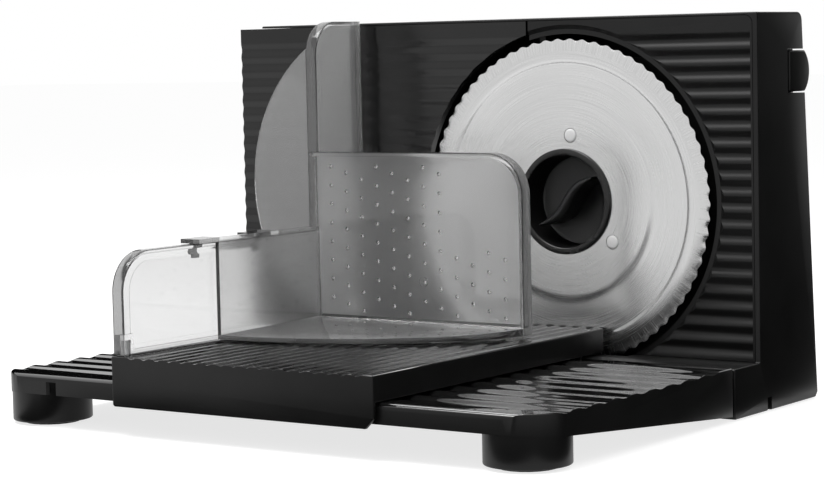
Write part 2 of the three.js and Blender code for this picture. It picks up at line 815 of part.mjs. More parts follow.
function wormSupport() {
  const floor = coverTop + gap;
  const half = wormSupportWidth / 2;
  const top = motorHeight + motorShaftRadius + cradleSole;
  const end = motorShaftStart + wormSupportDepth;
  const post = box(motorShaftStart, end, gearMid - half, gearMid + half, floor, top);
  const foot = box(motorShaftStart, end + 2 * wormSupportDepth, gearMid - half, gearMid + half,
    floor, floor + cradleSole);
  const bore = rodX(motorShaftRadius + gap, motorShaftStart - cutOver, end + cutOver, gearMid, motorHeight);
  return cut(join(post, foot), bore);
}

// Bottom cover, feet

function bottomCover() {
  const inset = wall + gap;
  const plate = box(casingLeft + inset, casingRight - inset, plinthFront + inset, rearBottom - inset,
    casingBottom, coverTop);
  const room = prismX(innerSide(inset), casingLeft, casingRight);
  const holes = [...bottomScrewPlaces, ...cradleScrewPlaces].map(([x, y]) => rodZ(screwHole, 0,
    coverTop + cutOver, x, y, screwSides));
  const heads = bottomScrewPlaces.map(([x, y]) => rodZ(screwHead + gap, 0,
    casingBottom + screwHeadHeight + gap, x, y));
  const feet = rearFootPlaces.map(([x, y]) => rodZ(rearFootRadius + gap, 0, rearFootHeight + gap,
    x, y, roundSides / 2));
  return cut(overlap(plate, room), cordNotch(), ...holes, ...heads, ...feet);
}

// Push button, switch and terminals

function pushButton() {
  const half = buttonHeight / 2;
  const radius = (half * half + buttonBulge * buttonBulge) / (2 * buttonBulge);
  const sweep = Math.asin(half / radius);
  const outline = asShape([[buttonFront, buttonTop], [buttonFront, buttonBottom]]);
  outline.absarc(buttonRear - radius, buttonBottom + half, radius, -sweep, sweep);
  return prismX(outline, casingRight - buttonWidth, casingRight);
}

function microSwitch() {
  const rear = buttonFront - buttonTravel - gap;
  const middle = (buttonBottom + buttonTop) / 2;
  const right = casingRight - wall - gap;
  return box(right - switchWidth, right, rear - switchLength, rear, middle - switchHeight / 2,
    middle + switchHeight / 2);
}

function terminalBlock() {
  const [length, depth, height] = terminalSize;
  const x = trayScrewPlaces[1] + screwHead + terminalMargin;
  const y = plinthFront + wall + gap;
  const top = coverTop + gap + height;
  const block = box(x, x + length, y, y + depth, coverTop + gap, top);
  const clampHoles = clampShares.map((share) => rodZ(clampRadius, top - clampDepth, top + cutOver,
    x + share * length, y + depth / 2, screwSides));
  return cut(block, ...clampHoles);
}

// Stop plate and thickness setting

function stopPlate() {
  const right = panelSeam - stopSeam;
  const root = stopRibDepth + cutOver;
  const plate = box(stopLeft, right, 0, stopThickness, stopBottom, roofUnder - slideGap);
  const ribs = ribCutter(stopLeft - cutOver, right + cutOver, stopRibDepth);
  const hollow = rodY(stopHollow, -cutOver, guideEnd, 0, axisHeight, fineSides);
  const guides = rodPlaces.map((x) => rodY(guideRadius, root, guideEnd, x, rodHeight, roundSides / 2));
  const nut = rodY(dialBossRadius, root, guideEnd, dialX, dialHeight, roundSides / 2);
  const bores = rodPlaces.map((x) => rodY(rodRadius + gap, stopThickness, guideEnd + cutOver,
    x, rodHeight));
  const nutBore = rodY(dialShaftRadius + gap, stopThickness, guideEnd + cutOver, dialX, dialHeight);
  return cut(join(cut(plate, ribs), ...guides, nut), hollow, ...bores, nutBore);
}

function guideRod(x) {
  return rodY(rodRadius, rodTip, rearAt(rodHeight) - wall / 2 - gap, x, rodHeight);
}

const dialFront = rearAt(dialHeight) + wall + gap;
const dialRear = dialFront + dialThickness;

function thicknessDial() {
  const knob = rodY(dialRadius, dialFront, dialRear, dialX, dialHeight, roundSides);
  const flutes = [];
  for (let i = 0; i < fluteCount; i += 1) {
    const [x, z] = polar(dialRadius + fluteOffset, (360 * i) / fluteCount);
    flutes.push(rodY(fluteRadius, dialFront + dialSkirt, dialRear + cutOver, dialX + x, dialHeight + z,
      fluteSides));
  }
  const socket = rodY(dialShaftRadius + gap, dialFront - cutOver, dialRear - dialCap, dialX, dialHeight);
  return cut(knob, socket, ...flutes);
}

function thicknessShaft() {
  return rodY(dialShaftRadius, rodTip, dialRear - dialCap - gap, dialX, dialHeight);
}

// Tray

const postPoints = [
  [trayLeft + trayCornerRadius, trayFront + trayCornerRadius],
  [casingRight - trayCornerRadius, trayFront + trayCornerRadius],
];

function traySide() {
  const end = trayRear - trayRearBand;
  const count = Math.floor((end - trayFront) / trayWavePitch);
  const start = end - count * trayWavePitch;
  const top = waves(start, count, trayWavePitch, trayCrest, trayWaveDepth, trayWaveSteps);
  return [
    [trayRear, trayRearBottom], [trayRear, trayCrest], ...top.reverse(),
    [trayFront + trayLip, trayCrest], [trayFront, trayCrest - trayLip], [trayFront, trayFrontBottom],
  ];
}

function trayPlan(inset) {
  const round = trayCornerRadius - inset;
  return roundedBox2(trayLeft + inset, casingRight - inset, trayFront + inset, trayRear - inset,
    [round, round, 0, 0]);
}

function tray() {
  const underside = trayCrest - trayWaveDepth - wall;
  const block = overlap(prismX(traySide(), trayLeft, casingRight),
    prismZ(trayPlan(0), 0, trayCrest + cutOver));
  const room = prismZ(trayPlan(wall), 0, underside);
  const posts = postPoints.map(([x, y]) => rodZ(postRadius, postBottom, underside + cutOver, x, y,
    roundSides));
  const padBores = postPoints.map(([x, y]) => rodZ(padRadius + gap, 0, padHeight + gap, x, y,
    roundSides / 2));
  const bosses = trayScrewPlaces.map((x) => box(x - screwBoss, x + screwBoss,
    trayRear - wall - screwLength, trayRear - wall / 2, trayScrewHeight - screwBoss, underside + cutOver));
  const holes = trayScrewPlaces.map((x) => rodY(screwHole, trayRear - screwLength, trayRear + cutOver, x,
    trayScrewHeight, screwSides));
  const slot = box(slotX - slotWidth / 2, slotX + slotWidth / 2, trayFront - cutOver, trayFront + wall,
    0, slotTop);
  return cut(join(cut(block, room), ...posts, ...bosses), ...padBores, ...holes, slot);
}

// Carriage

function deckOutline() {
  const left = carriageLeft + deckLeftBorder;
  const count = Math.floor((carriageRight - deckRightBorder - left) / deckRibPitch);
  const crests = waves(left, count, deckRibPitch, deckTop, deckRibDepth, deckRibSteps);
  return [
    [carriageLeft, deckTop - deckThickness], [carriageRight, deckTop - deckThickness],
    [carriageRight, deckTop], ...crests.reverse(), [carriageLeft, deckTop],
  ];
}

function carriageTable() {
  const deck = prismY(deckOutline(), carriageFront, carriageRear);
  const front = prismY([
    [carriageLeft, skirtBottom], [carriageRight - skirtChamfer, skirtBottom],
    [carriageRight, skirtBottom + skirtChamfer], [carriageRight, skirtTop], [carriageLeft, skirtTop],
  ], carriageFront, carriageFront + wall);
  const left = box(carriageLeft, carriageLeft + sideSkirt, carriageFront, carriageRear,
    deckFoot, skirtTop);
  const right = box(carriageRight - sideSkirt, carriageRight, carriageFront, carriageRear,
    deckFoot, skirtTop);
  const rear = box(carriageLeft, carriageRight, carriageRear - wall, carriageRear, deckFoot, skirtTop);
  const seam = (trayRear + plinthFront) / 2;
  const finHalf = (plinthFront - trayRear) / 2 - slideGap / 2;
  const fin = box(carriageLeft, carriageRight, seam - finHalf, seam + finHalf,
    trayCrest - finDepth, skirtTop);
  const holes = wallBossPlaces.map((y) => rodZ(screwHole, deckFoot, deckTop + cutOver, wallBossX, y,
    screwSides));
  return cut(join(deck, front, left, right, rear, fin), ...holes);
}

const wallBossX = wallOuter + sideSkirt + gap + wallScrewHead;

function wallOutline(inset) {
  const shape = new THREE.Shape();
  const front = wallFront + inset;
  const low = wallLowTop - inset;
  const tallFront = wallTallFront + inset;
  const tall = wallTallTop - inset;
  const rear = wallRear - inset;
  const foot = wallFoot + inset;
  const tallRound = wallTallRound - inset;
  const frontRound = wallFrontRound - inset;
  shape.moveTo(front, foot);
  shape.lineTo(rear, foot);
  shape.lineTo(rear, tall);
  shape.lineTo(tallFront + tallRound, tall);
  shape.absarc(tallFront + tallRound, tall - tallRound, tallRound, Math.PI / 2, Math.PI);
  shape.lineTo(tallFront, low);
  shape.lineTo(front + frontRound, low);
  shape.absarc(front + frontRound, low - frontRound, frontRound, Math.PI / 2, Math.PI);
  return shape;
}

function carriageWall() {
  const panel = prismX(wallOutline(0), wallOuter, wallInner);
  const room = prismX(wallOutline(sheet), wallOuter - cutOver, wallInner - sheet);
  const bossHalf = wallBossWidth / 2;
  const bosses = wallBossPlaces.map((y) => box(wallOuter, wallInner, y - bossHalf, y + bossHalf,
    wallFoot, wallFoot + wallBossHeight));
  const disc = rodY(guardRadius, wallRear - sheet, wallRear, guardX, guardHeight, fineSides);
  const guard = overlap(disc, box(guardX - guardRadius, wallInner, wallRear - sheet, wallRear,
    wallFoot, wallTallTop));
  const holes = wallBossPlaces.map((y) => rodZ(screwHole, wallFoot - cutOver,
    wallFoot + wallBossHeight - wallBossCap, wallBossX, y, screwSides));
  return cut(join(cut(panel, room), ...bosses, guard), ...holes);
}

// Pusher

function spike(x, z) {
  const geometry = new THREE.ConeGeometry(spikeBase, spikeLength + spikeRoot, spikeSides);
  geometry.translate(x, pusherPlate + sheet + (spikeLength - spikeRoot) / 2, z);
  return solid(geometry);
}

function spikes() {
  const list = [];
  const lowest = floorBottom + sheet + spikeFootMargin;
  const highest = pusherTop - spikeTopMargin;
  for (let column = 0; column < spikeColumns; column += 1) {
    const x = spikeFirst + column * spikePitch;
    const top = column < spikeTallColumns ? highest : spikeShortTop;
    const shift = (column * spikeDrop) % spikePitch;
    for (let z = highest - shift; z > lowest; z -= spikePitch) {
      if (z <= top) list.push(spike(x, z));
    }
  }
  return list;
}

function hook([y0, y1]) {
  const bridgeBottom = wallLowTop + gap;
  const outside = wallOuter - gap - sheet;
  const middle = (y0 + y1) / 2;
  const bridge = box(outside, wingOuter + sheet, y0, y1, bridgeBottom, bridgeBottom + sheet);
  const tab = box(outside, outside + sheet, middle - hookTabWidth / 2, middle + hookTabWidth / 2,
    bridgeBottom - hookLip, bridgeBottom + sheet);
  return join(bridge, tab);
}

function pusherFloor() {
  const back = pusherPlate + sheet;
  const plan = [[pusherRight, back], [wingOuter, back]];
  for (let i = 0; i <= floorSteps; i += 1) {
    const turn = (Math.PI / 2) * (i / floorSteps);
    plan.push([wingOuter + (pusherRight - wingOuter) * Math.sin(turn),
      pusherPlate - (pusherPlate - wingFront) * Math.cos(turn)]);
  }
  const slope = [
    [wingFront, floorBottom], [back, floorBottom], [back, floorBottom + floorRise],
    [wingFront, floorBottom + sheet],
  ];
  return overlap(prismZ(plan, floorBottom - cutOver, floorBottom + floorRise + cutOver),
    prismX(slope, wingOuter - cutOver, pusherRight + cutOver));
}

function pusher() {
  const wingTop = wallLowTop + gap + sheet;
  const outline = (inset) => roundedBox2(wingOuter, pusherRight - inset, floorBottom, pusherTop - inset,
    [0, 0, pusherRound - inset, 0]);
  const block = prismY(outline(0), pusherPlate - pusherRim + sheet, pusherPlate + sheet);
  const plate = cut(block, prismY(outline(sheet), pusherPlate - pusherRim, pusherPlate));
  const wing = box(wingOuter, wingOuter + sheet, wingFront, pusherPlate + sheet, floorBottom, wingTop);
  return join(plate, wing, pusherFloor(), ...hookPlaces.map(hook), ...spikes());
}

// Assembly

function group(name, ...parts) {
  const set = new THREE.Group();
  set.name = name;
  parts.flat().forEach((part) => set.add(part));
  return set;
}

const housing = group('housing',
  node('main_casing', mainCasing(), 'blackPlastic'),
  node('front_panel', frontPanel(), 'blackPlastic'),
  node('bottom_cover', bottomCover(), 'blackPlastic'),
  bottomScrewPlaces.map(([x, y], i) => node(`bottom_screw_${i + 1}`,
    screw('z', [x, y, casingBottom + gap / 2], 1), 'steel')),
  rearFootPlaces.map(([x, y], i) => node(`rear_foot_${i + 1}`,
    rodZ(rearFootRadius, 0, rearFootHeight, x, y, roundSides / 2), 'rubber')),
  node('front_bush', bush(wellFloor, frontBushLength), 'brass'),
  node('rear_bush', bush(rearBushStart, rearBushLength), 'brass'),
  node('gear_bracket', gearBracket(), 'darkSteel'),
  postPlaces.map(([x, z], i) => node(`bracket_screw_${i + 1}`,
    screw('y', [x, axisHeight + z, postEnd + 2 * gap + bracketThickness + screwHeadHeight], -1), 'steel')),
  node('motor_can', motorCan(), 'darkSteel'),
  node('motor_cradle', motorCradle(), 'blackPlastic'),
  cradleScrewPlaces.map(([x, y], i) => node(`cradle_screw_${i + 1}`,
    screw('z', [x, y, coverTop + 2 * gap + cradleSole + screwHeadHeight], -1, screwHead,
      cradleScrewLength), 'steel')),
  node('worm_support', wormSupport(), 'blackPlastic'),
  node('micro_switch', microSwitch(), 'blackPlastic'),
  node('terminal_block', terminalBlock(), 'nylon'),
  rodPlaces.map((x, i) => node(`guide_rod_${i + 1}`, guideRod(x), 'steel')));

const trayGroup = group('tray_assembly',
  node('tray', tray(), 'blackPlastic'),
  postPoints.map(([x, y], i) => node(`front_pad_${i + 1}`,
    rodZ(padRadius, 0, padHeight, x, y, roundSides / 2), 'rubber')),
  trayScrewPlaces.map((x, i) => node(`tray_screw_${i + 1}`,
    screw('y', [x, trayScrewHeight, plinthFront + wall + gap + screwHeadHeight], -1), 'steel')));

const bladeGroup = group('blade_assembly',
  node('blade', blade(), 'steel'),
  node('blade_hub', bladeHub(), 'nylon'),
  rivetRods(rivetRadius, bladeFront - rivetProud, hubBack).map((rod, i) => node(
    `blade_rivet_${i + 1}`, rod, 'nylon')),
  node('blade_shaft', bladeShaft(), 'darkSteel'),
  node('drive_gear', driveGear(), 'nylon'));

const carriageGroup = group('carriage_assembly',
  node('carriage_table', carriageTable(), 'blackPlastic'),
  node('carriage_wall', carriageWall(), 'clearPlastic'),
  wallBossPlaces.map((y, i) => node(`wall_screw_${i + 1}`,
    screw('z', [wallBossX, y, deckTop - deckThickness - gap - screwHeadHeight], 1, wallScrewHead), 'steel')));

const slicer = group('food_slicer',
  housing, trayGroup, bladeGroup, carriageGroup,
  node('blade_lock_knob', lockKnob(), 'blackPlastic'),
  group('motor_rotor', node('motor_shaft', motorShaft(), 'steel'),
    node('motor_fan', motorFan(), 'blackPlastic')),
  node('push_button', pushButton(), 'blackPlastic'),
  node('stop_plate', stopPlate(), 'blackPlastic'),
  group('thickness_setting', node('thickness_dial', thicknessDial(), 'blackPlastic'),
    node('thickness_shaft', thicknessShaft(), 'steel')),
  node('pusher', pusher(), 'clearPlastic'));

// Origin at the middle of the outer box, on the table
const outer = new THREE.Box3().setFromObject(slicer);
const middle = outer.getCenter(new THREE.Vector3());
slicer.position.set(-middle.x, -middle.y, -outer.min.z);
slicer.updateMatrixWorld(true);

export default slicer;
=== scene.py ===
# Looks of a domestic food slicer: finer pieces, finishes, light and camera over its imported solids.
# Sizes are in millimetres about the blade: X = 0 and Z = 104.5 on its axis, Y = 0 on the rib crests,
# the table at Z = 0.
import json
from math import asin, atan2, cos, pi, radians, sin, tan

import bmesh
import bpy
from mathutils import Matrix, Vector

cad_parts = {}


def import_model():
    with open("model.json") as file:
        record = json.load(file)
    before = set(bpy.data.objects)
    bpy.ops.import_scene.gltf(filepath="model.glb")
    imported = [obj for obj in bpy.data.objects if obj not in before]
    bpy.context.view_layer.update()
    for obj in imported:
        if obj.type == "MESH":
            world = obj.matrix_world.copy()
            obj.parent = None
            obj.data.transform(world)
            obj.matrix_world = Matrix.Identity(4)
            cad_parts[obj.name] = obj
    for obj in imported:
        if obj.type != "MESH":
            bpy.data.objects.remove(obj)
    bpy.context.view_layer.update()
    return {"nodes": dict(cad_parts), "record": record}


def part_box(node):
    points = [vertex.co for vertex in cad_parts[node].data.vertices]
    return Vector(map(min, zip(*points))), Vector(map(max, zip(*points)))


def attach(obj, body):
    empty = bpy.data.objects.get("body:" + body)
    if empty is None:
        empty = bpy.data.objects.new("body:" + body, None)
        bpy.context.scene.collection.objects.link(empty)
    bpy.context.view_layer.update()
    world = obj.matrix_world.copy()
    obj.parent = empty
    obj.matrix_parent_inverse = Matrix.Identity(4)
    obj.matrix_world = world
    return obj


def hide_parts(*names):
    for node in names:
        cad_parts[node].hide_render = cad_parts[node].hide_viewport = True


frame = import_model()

# General sizes; OVER is how far a cutting shape reaches past what it cuts
MM = 0.001
GAP = 0.3
SLIDE_GAP = 0.7
WALL = 2.5
OVER = 1.0
SOLID_EDGE = 0.25

# Limits for a face's direction along an axis: nearly none, turned towards it, square to it
ASLANT, FACING, SQUARE = 0.2, 0.6, 0.97

# Blade; its rings are (radius, depth under the front): flat middle, step down, step up, ground bevel
AXIS_HEIGHT = 104.5
BLADE_RADIUS, BLADE_FRONT, BLADE_BACK = 85.0, -2.0, -0.8
BLADE_BORE, BORE_CHAMFER = 26.3, 0.4
BLADE_RINGS = (
    (48.5, 0), (49.5, 0.04), (50.5, 0.16), (51.5, 0.34), (52.5, 0.50), (53.5, 0.58), (54.8, 0.60),
    (71.8, 0.60), (72.1, 0.57), (72.5, 0.46), (73.0, 0.32), (73.6, 0.21), (74.6, 0.15), (77.5, 0.14),
    (79.0, 0.22), (80.5, 0.34), (82.5, 0.52), (83.8, 0.66),
)
EDGE_THICK, EDGE_BAND = 0.3, 3.0
BLADE_WAVES, WAVE_STEPS, WAVE_DEPTH, WAVE_START = 70, 10, 1.1, 81.5
SCALLOP_DEPTH = 0.08
BEVEL_START, BEVEL_BLEND = 78.0, 1.5

# Rivets; the crown is (radius, depth under its top)
RIVET_CIRCLE, RIVET_RADIUS, RIVET_PROUD = 34.8, 3.5, 0.4
RIVET_CROWN = ((0, 0), (2.4, 0), (3.1, 0.12), (RIVET_RADIUS, 0.45))
RIVET_ANGLES = (84, -36, -156)
HUB_BACK = 5.1

# Knob; its rounded corners are (distance from the side, distance from the end)
KNOB_RADIUS, KNOB_FRONT, KNOB_LIP, KNOB_RIM = 27.7, -3.8, 1.5, 3.5
KNOB_DISH, KNOB_FLOOR = 17.5, 2.2
KNOB_DISH_ROUND = ((2.5, 0), (1.1, 0.5), (0.4, 2.0))
KNOB_MOUTH_ROUND = ((0, 0.6), (0.2, 0.2), (0.6, 0))
KNOB_RIM_ROUND = ((0.8, 0), (0.2, 0.25), (0, 0.8))
KNOB_BAR_LENGTH, KNOB_BAR_WIDTH, KNOB_BAR_TIP, KNOB_BAR_CREST = 40.5, 6.0, 1.5, 0.15
KNOB_BAR_SWEEP, KNOB_BAR_ANGLE, KNOB_BAR_SET = 2.1, 38, 1.5

# Casing
CASING_LEFT, CASING_RIGHT = -202.0, 111.5
ROOF_TOP, ROOF_UNDER = 200.5, 199.3
CASING_BOTTOM, CASING_SOFT = 0.6, 1.2
REAR_TOP, REAR_BOTTOM, REAR_CORNER, REAR_ROUND = 49.8, 64.8, 2.5, 4.5
PLINTH_FRONT, PLINTH_TOP = -27.0, 25.7
ROOF_ROUND, STEP_ROUND, PLINTH_ROUND, TOE_ROUND, HEEL_ROUND = 0.8, 0.6, 1.2, 0.8, 1.0
CHAMBER_LEFT, CHAMBER_STEP, SEAM_LAP = -42.5, 179.0, 1.4
LEFT_END_DEPTH = 26.0
OUTLET_LEFT, OUTLET_RIGHT, OUTLET_FRONT = -178.0, -47.0, 30.0
OUTLET_TOP, OUTLET_ROUND = 114.0, 3.0
CORD_DEPTH, CORD_FRONT, CORD_REAR, CORD_RISE = 11.0, 7.7, 12.3, 6.7

# Front panel and stop plate
PANEL_SEAM, PANEL_THICK = -23.0, 11.5
PANEL_BORDER, PANEL_CORNER, PANEL_REACH = 0.8, 4.0, 40.0
RECESS_RADIUS, RECESS_FLOOR = 87.5, 9.0
WELL_RADIUS, WELL_FLOOR, BOSS_RADIUS, BOSS_END = 29.9, 19.5, 14.0, 29.5
POST_CIRCLE, POST_ANGLES, SCREW_POST, SCREW_POST_END = 36.5, (30, 90, 150), 4.6, 42.6
BUSH_BORE = 9.3
RIB_PITCH, RIB_COUNT, RIB_DEPTH, RIB_TOP = 8.2, 20, 1.4, 191.2
RIB_END_SLOPE, RIB_STEPS = 2.2, 20
STOP_LEFT, STOP_THICK, STOP_BOTTOM, STOP_HOLLOW = -217.6, 4.5, 28.0, 90.5
STOP_RIB_DEPTH, STOP_SEAM_GAP, STOP_TRAVEL = 0.7, 1.0, 15.0
ROD_PLACES, ROD_HEIGHT, ROD_RADIUS, GUIDE_RADIUS = (-186.0, -104.0), 168.0, 4.0, 7.5
ROD_FRONT = 10.0

# Dial and button; the dial's outer edge is (inset, depth under its face)
DIAL_X, DIAL_HEIGHT, DIAL_RADIUS, DIAL_THICK = -145.0, 146.0, 23.0, 12.0
DIAL_BOSS, DIAL_BOSS_SOFT, DIAL_SHAFT, DIAL_CAP = 12.0, 0.6, 5.0, 3.0
DIAL_CHAMFER, DIAL_SINK = 0.6, 0.8
DIAL_EDGE = ((0, 1.6), (0.5, 0.5), (1.6, 0), (5, 0), (6, DIAL_SINK))
FLUTE_COUNT, FLUTE_RADIUS, FLUTE_OUT, FLUTE_START = 12, 1.6, 0.6, 4.0
BUTTON_LEFT, BUTTON_FRONT, BUTTON_REAR, BUTTON_BULGE = 89.5, 36.0, 58.5, 5.4
BUTTON_LOW, BUTTON_HIGH, BUTTON_SOFT = 160.0, 181.0, 1.0
BUTTON_TRAVEL = 2.0
FIN_INSET, FIN_RISE = 6.5, 0.62

# Tray
TRAY_LEFT, TRAY_FRONT, TRAY_REAR = -218.0, -204.4, -29.0
TRAY_FRONT_LOW, TRAY_REAR_LOW, TRAY_REACH = 16.8, 2.4, 20.0
TRAY_CREST, TRAY_DEPTH, TRAY_PITCH, TRAY_WAVES = 26.5, 1.2, 16.8, 9
TRAY_BAND, TRAY_EDGE, TRAY_SOFT, TRAY_CROWN = 12.0, 3.0, 1.0, 0.2
TRAY_CORNER, POST_RADIUS, POST_BOTTOM, POST_SOFT = 20.6, 20.2, 1.5, 0.8
PAD_ROOM, PAD_DEPTH = 14.3, 4.8
TRAY_SCREWS, TRAY_SCREW_HEIGHT, TRAY_SCREW_LENGTH, SCREW_HOLE = (-150, 60), 12.0, 11.0, 1.9
NOTCH_LEFT, NOTCH_RIGHT, NOTCH_TOP = -181.85, -175.15, 23.4

# Carriage and its wall
CAR_LEFT, CAR_RIGHT, CAR_FRONT, CAR_REAR = -134.0, 24.0, -208.0, -5.0
CAR_BOTTOM, CAR_SIDE, CAR_SOFT = 26.8, 1.5, 0.8
DECK_TOP, DECK_THICK, DECK_PITCH, DECK_DEPTH = 39.5, 3.2, 8.0, 1.1
DECK_LEFT_BORDER, DECK_RIGHT_BORDER, DECK_STEPS = 9.0, 3.0, 14
SKIRT_BOTTOM, SKIRT_CHAMFER, SKIRT_SOFT = 14.7, 4.8, 0.7
SKIRT_LEFT_ROUND, SKIRT_RIGHT_ROUND = 1.5, 1.0
KEEL_FRONT, KEEL_REAR, KEEL_BOTTOM = -28.65, -27.35, 21.5
SHEET = 2.2
WALL_OUT, WALL_IN, WALL_FRONT, WALL_REAR = -134.0, -127.0, -206.0, -7.0
WALL_FOOT, WALL_LOW, WALL_TOP, WALL_TALL = 39.8, 90.0, 201.5, -48.0
WALL_LOW_ROUND, WALL_TOP_ROUND, WALL_SOFT = 20.0, 18.0, 0.5
WALL_BORDER, WALL_STEP = 5.0, 0.4
GUARD_RADIUS, GUARD_X, GUARD_HEIGHT, GUARD_SOFT, GUARD_INSET = 91.0, -112.0, 112.6, 0.4, 0.5
WALL_SCREWS, WALL_BOSS, WALL_BOSS_RISE = (-201.5, -18), 4.0, 10.0

# Pusher; each hook is (front, rear)
PUSH_LEFT, PUSH_RIGHT, PUSH_BACK = -126.3, 9.0, -49.8
PUSH_FOOT, PUSH_TOP, PUSH_ROUND = 40.2, 132.3, 21.0
PUSH_LIP, PUSH_SOFT = 8.0, 0.5
WING_FRONT, WING_TOP = -136.0, 92.5
FLOOR_RISE, FLOOR_INSET, FLOOR_SOFT, FLOOR_STEPS = 4.0, 0.2, 0.3, 32
FILLET, FILLET_LAP, PLATE_LAP = 1.2, 0.2, 0.5
HOOKS = ((-151, -134), (-106, -86))
HOOK_DROP, HOOK_TONGUE = 8.0, 4.0
STUD_RADIUS, STUD_X, STUD_HEIGHT, STUD_RISE = 2.6, -56.3, 64.6, 0.6
SPIKE_COLUMNS, SPIKE_TALL_COLUMNS, SPIKE_LEFT, SPIKE_PITCH = 12, 8, -116.5, 10.0
SPIKE_TOP_INSET, SPIKE_LOW_INSET, SPIKE_LOW_TOP = 8.0, 3.0, 82.0
SPIKE_RADIUS, SPIKE_SIDES, SPIKE_ROOT = 1.3, 10, 0.4
SPIKE_SHOULDER, SPIKE_SHOULDER_SHARE, SPIKE_HEIGHT = 1.7, 0.35, 2.0

# Camera, measured from the blade's middle, with angles in degrees and its focal length in pixels
CAMERA_X, CAMERA_Y, CAMERA_RISE = 662.4544, -1072.2228, 79.9127
CAMERA_HEADING, CAMERA_DIP, CAMERA_ROLL = 35.4158, 4.47499, -1.22634
PICTURE_WIDTH, FOCAL_LENGTH, SENSOR_WIDTH = 825, 2406.336, 36.0

blade_low, blade_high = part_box("blade")
ORIGIN = Vector(((blade_low.x + blade_high.x) / 2, blade_low.y - BLADE_FRONT * MM, 0))


# Mesh helpers

def place(x, y, z):
    return Vector((x, y, z)) * MM + ORIGIN


def make(name, points, faces):
    mesh = bpy.data.meshes.new(name)
    mesh.from_pydata([place(*p) for p in points], [], faces)
    shape = bmesh.new()
    shape.from_mesh(mesh)
    bmesh.ops.recalc_face_normals(shape, faces=shape.faces)
    shape.to_mesh(mesh)
    shape.free()
    piece = bpy.data.objects.new(name, mesh)
    bpy.context.scene.collection.objects.link(piece)
    return piece


def along(axis, u, v, w):
    """The point at (u, v) of an outline and at w along its axis."""
    if axis == "x":
        return w, u, v
    if axis == "y":
        return u, w, v
    return u, v, w


def band(first, second, count):
    """Faces between two rings of points, each given by the number of its first point."""
    faces = []
    for i in range(count):
        j = (i + 1) % count
        faces.append([first + i, first + j, second + j, second + i])
    return faces


def prism(axis, outline, low, high, name="tool"):
    """Outline as (y, z) for axis x, (x, z) for axis y, (x, y) for axis z."""
    count = len(outline)
    points = [along(axis, u, v, w) for w in (low, high) for u, v in outline]
    ends = [list(range(count)), list(range(count, 2 * count))]
    return make(name, points, ends + band(0, count, count))


def block(x0, x1, y0, y1, z0, z1, name="tool"):
    return prism("z", [(x0, y0), (x1, y0), (x1, y1), (x0, y1)], z0, z1, name)


def circle(radius, u=0.0, v=0.0, sides=64):
    turns = [2 * pi * i / sides for i in range(sides)]
    return [(u + radius * cos(turn), v + radius * sin(turn)) for turn in turns]


def rounded(corners, steps=8):
    """Outline from corners (u, v, radius)."""
    outline = []
    for i, (u, v, radius) in enumerate(corners):
        here = Vector((u, v))
        if radius == 0:
            outline.append((u, v))
            continue
        back = (Vector(corners[i - 1][:2]) - here).normalized()
        ahead = (Vector(corners[(i + 1) % len(corners)][:2]) - here).normalized()
        half = back.angle(ahead) / 2
        centre = here + (back + ahead).normalized() * (radius / sin(half))
        first = here + back * (radius / tan(half)) - centre
        last = here + ahead * (radius / tan(half)) - centre
        start = atan2(first.y, first.x)
        sweep = (atan2(last.y, last.x) - start + pi) % (2 * pi) - pi
        for k in range(steps + 1):
            turn = start + sweep * k / steps
            outline.append((centre.x + radius * cos(turn), centre.y + radius * sin(turn)))
    return outline


def turned(profile, x, z, sides, name="tool"):
    """Closed profile as (radius, y), turned about the Y line through x, z."""
    points, rings = [], []
    for radius, y in profile:
        if radius == 0:
            rings.append([len(points)] * sides)
            points.append((x, y, z))
        else:
            rings.append(list(range(len(points), len(points) + sides)))
            points += [(x + u, y, z + v) for u, v in circle(radius, sides=sides)]
    faces = []
    for a, b in zip(rings, rings[1:] + rings[:1]):
        for i in range(sides):
            j = (i + 1) % sides
            corners = list(dict.fromkeys([a[i], a[j], b[j], b[i]]))
            if len(corners) > 2:
                faces.append(corners)
    return make(name, points, faces)


def settle(piece):
    """Applies a piece's modifiers to its mesh."""
    graph = bpy.context.evaluated_depsgraph_get()
    mesh = bpy.data.meshes.new_from_object(piece.evaluated_get(graph))
    piece.modifiers.clear()
    piece.data = mesh
    return piece


def carve(piece, operation, *tools):
    for tool in tools:
        change = piece.modifiers.new("carve", "BOOLEAN")
        change.operation = operation
        change.solver = "EXACT"
        change.object = tool
    settle(piece)
    for tool in tools:
        bpy.data.objects.remove(tool)
    return piece


def cut(piece, *tools):
    return carve(piece, "DIFFERENCE", *tools)


def join(piece, *tools):
    return carve(piece, "UNION", *tools)


def soften(piece, width, segments=3, angle=40):
    change = piece.modifiers.new("soften", "BEVEL")
    change.width = width * MM
    change.segments = segments
    change.limit_method = "ANGLE"
    change.angle_limit = radians(angle)
    return settle(piece)


def shade(piece, angle=32):
    for face in piece.data.polygons:
        face.use_smooth = True
    piece.data.set_sharp_from_angle(angle=radians(angle))
    return piece


def waves(start, count, pitch, crest, depth, steps):
    points = []
    for i in range(count * steps + 1):
        level = crest - depth * (1 - cos(2 * pi * i / steps)) / 2
        points.append((start + pitch * i / steps, level))
    return points


# Finishes

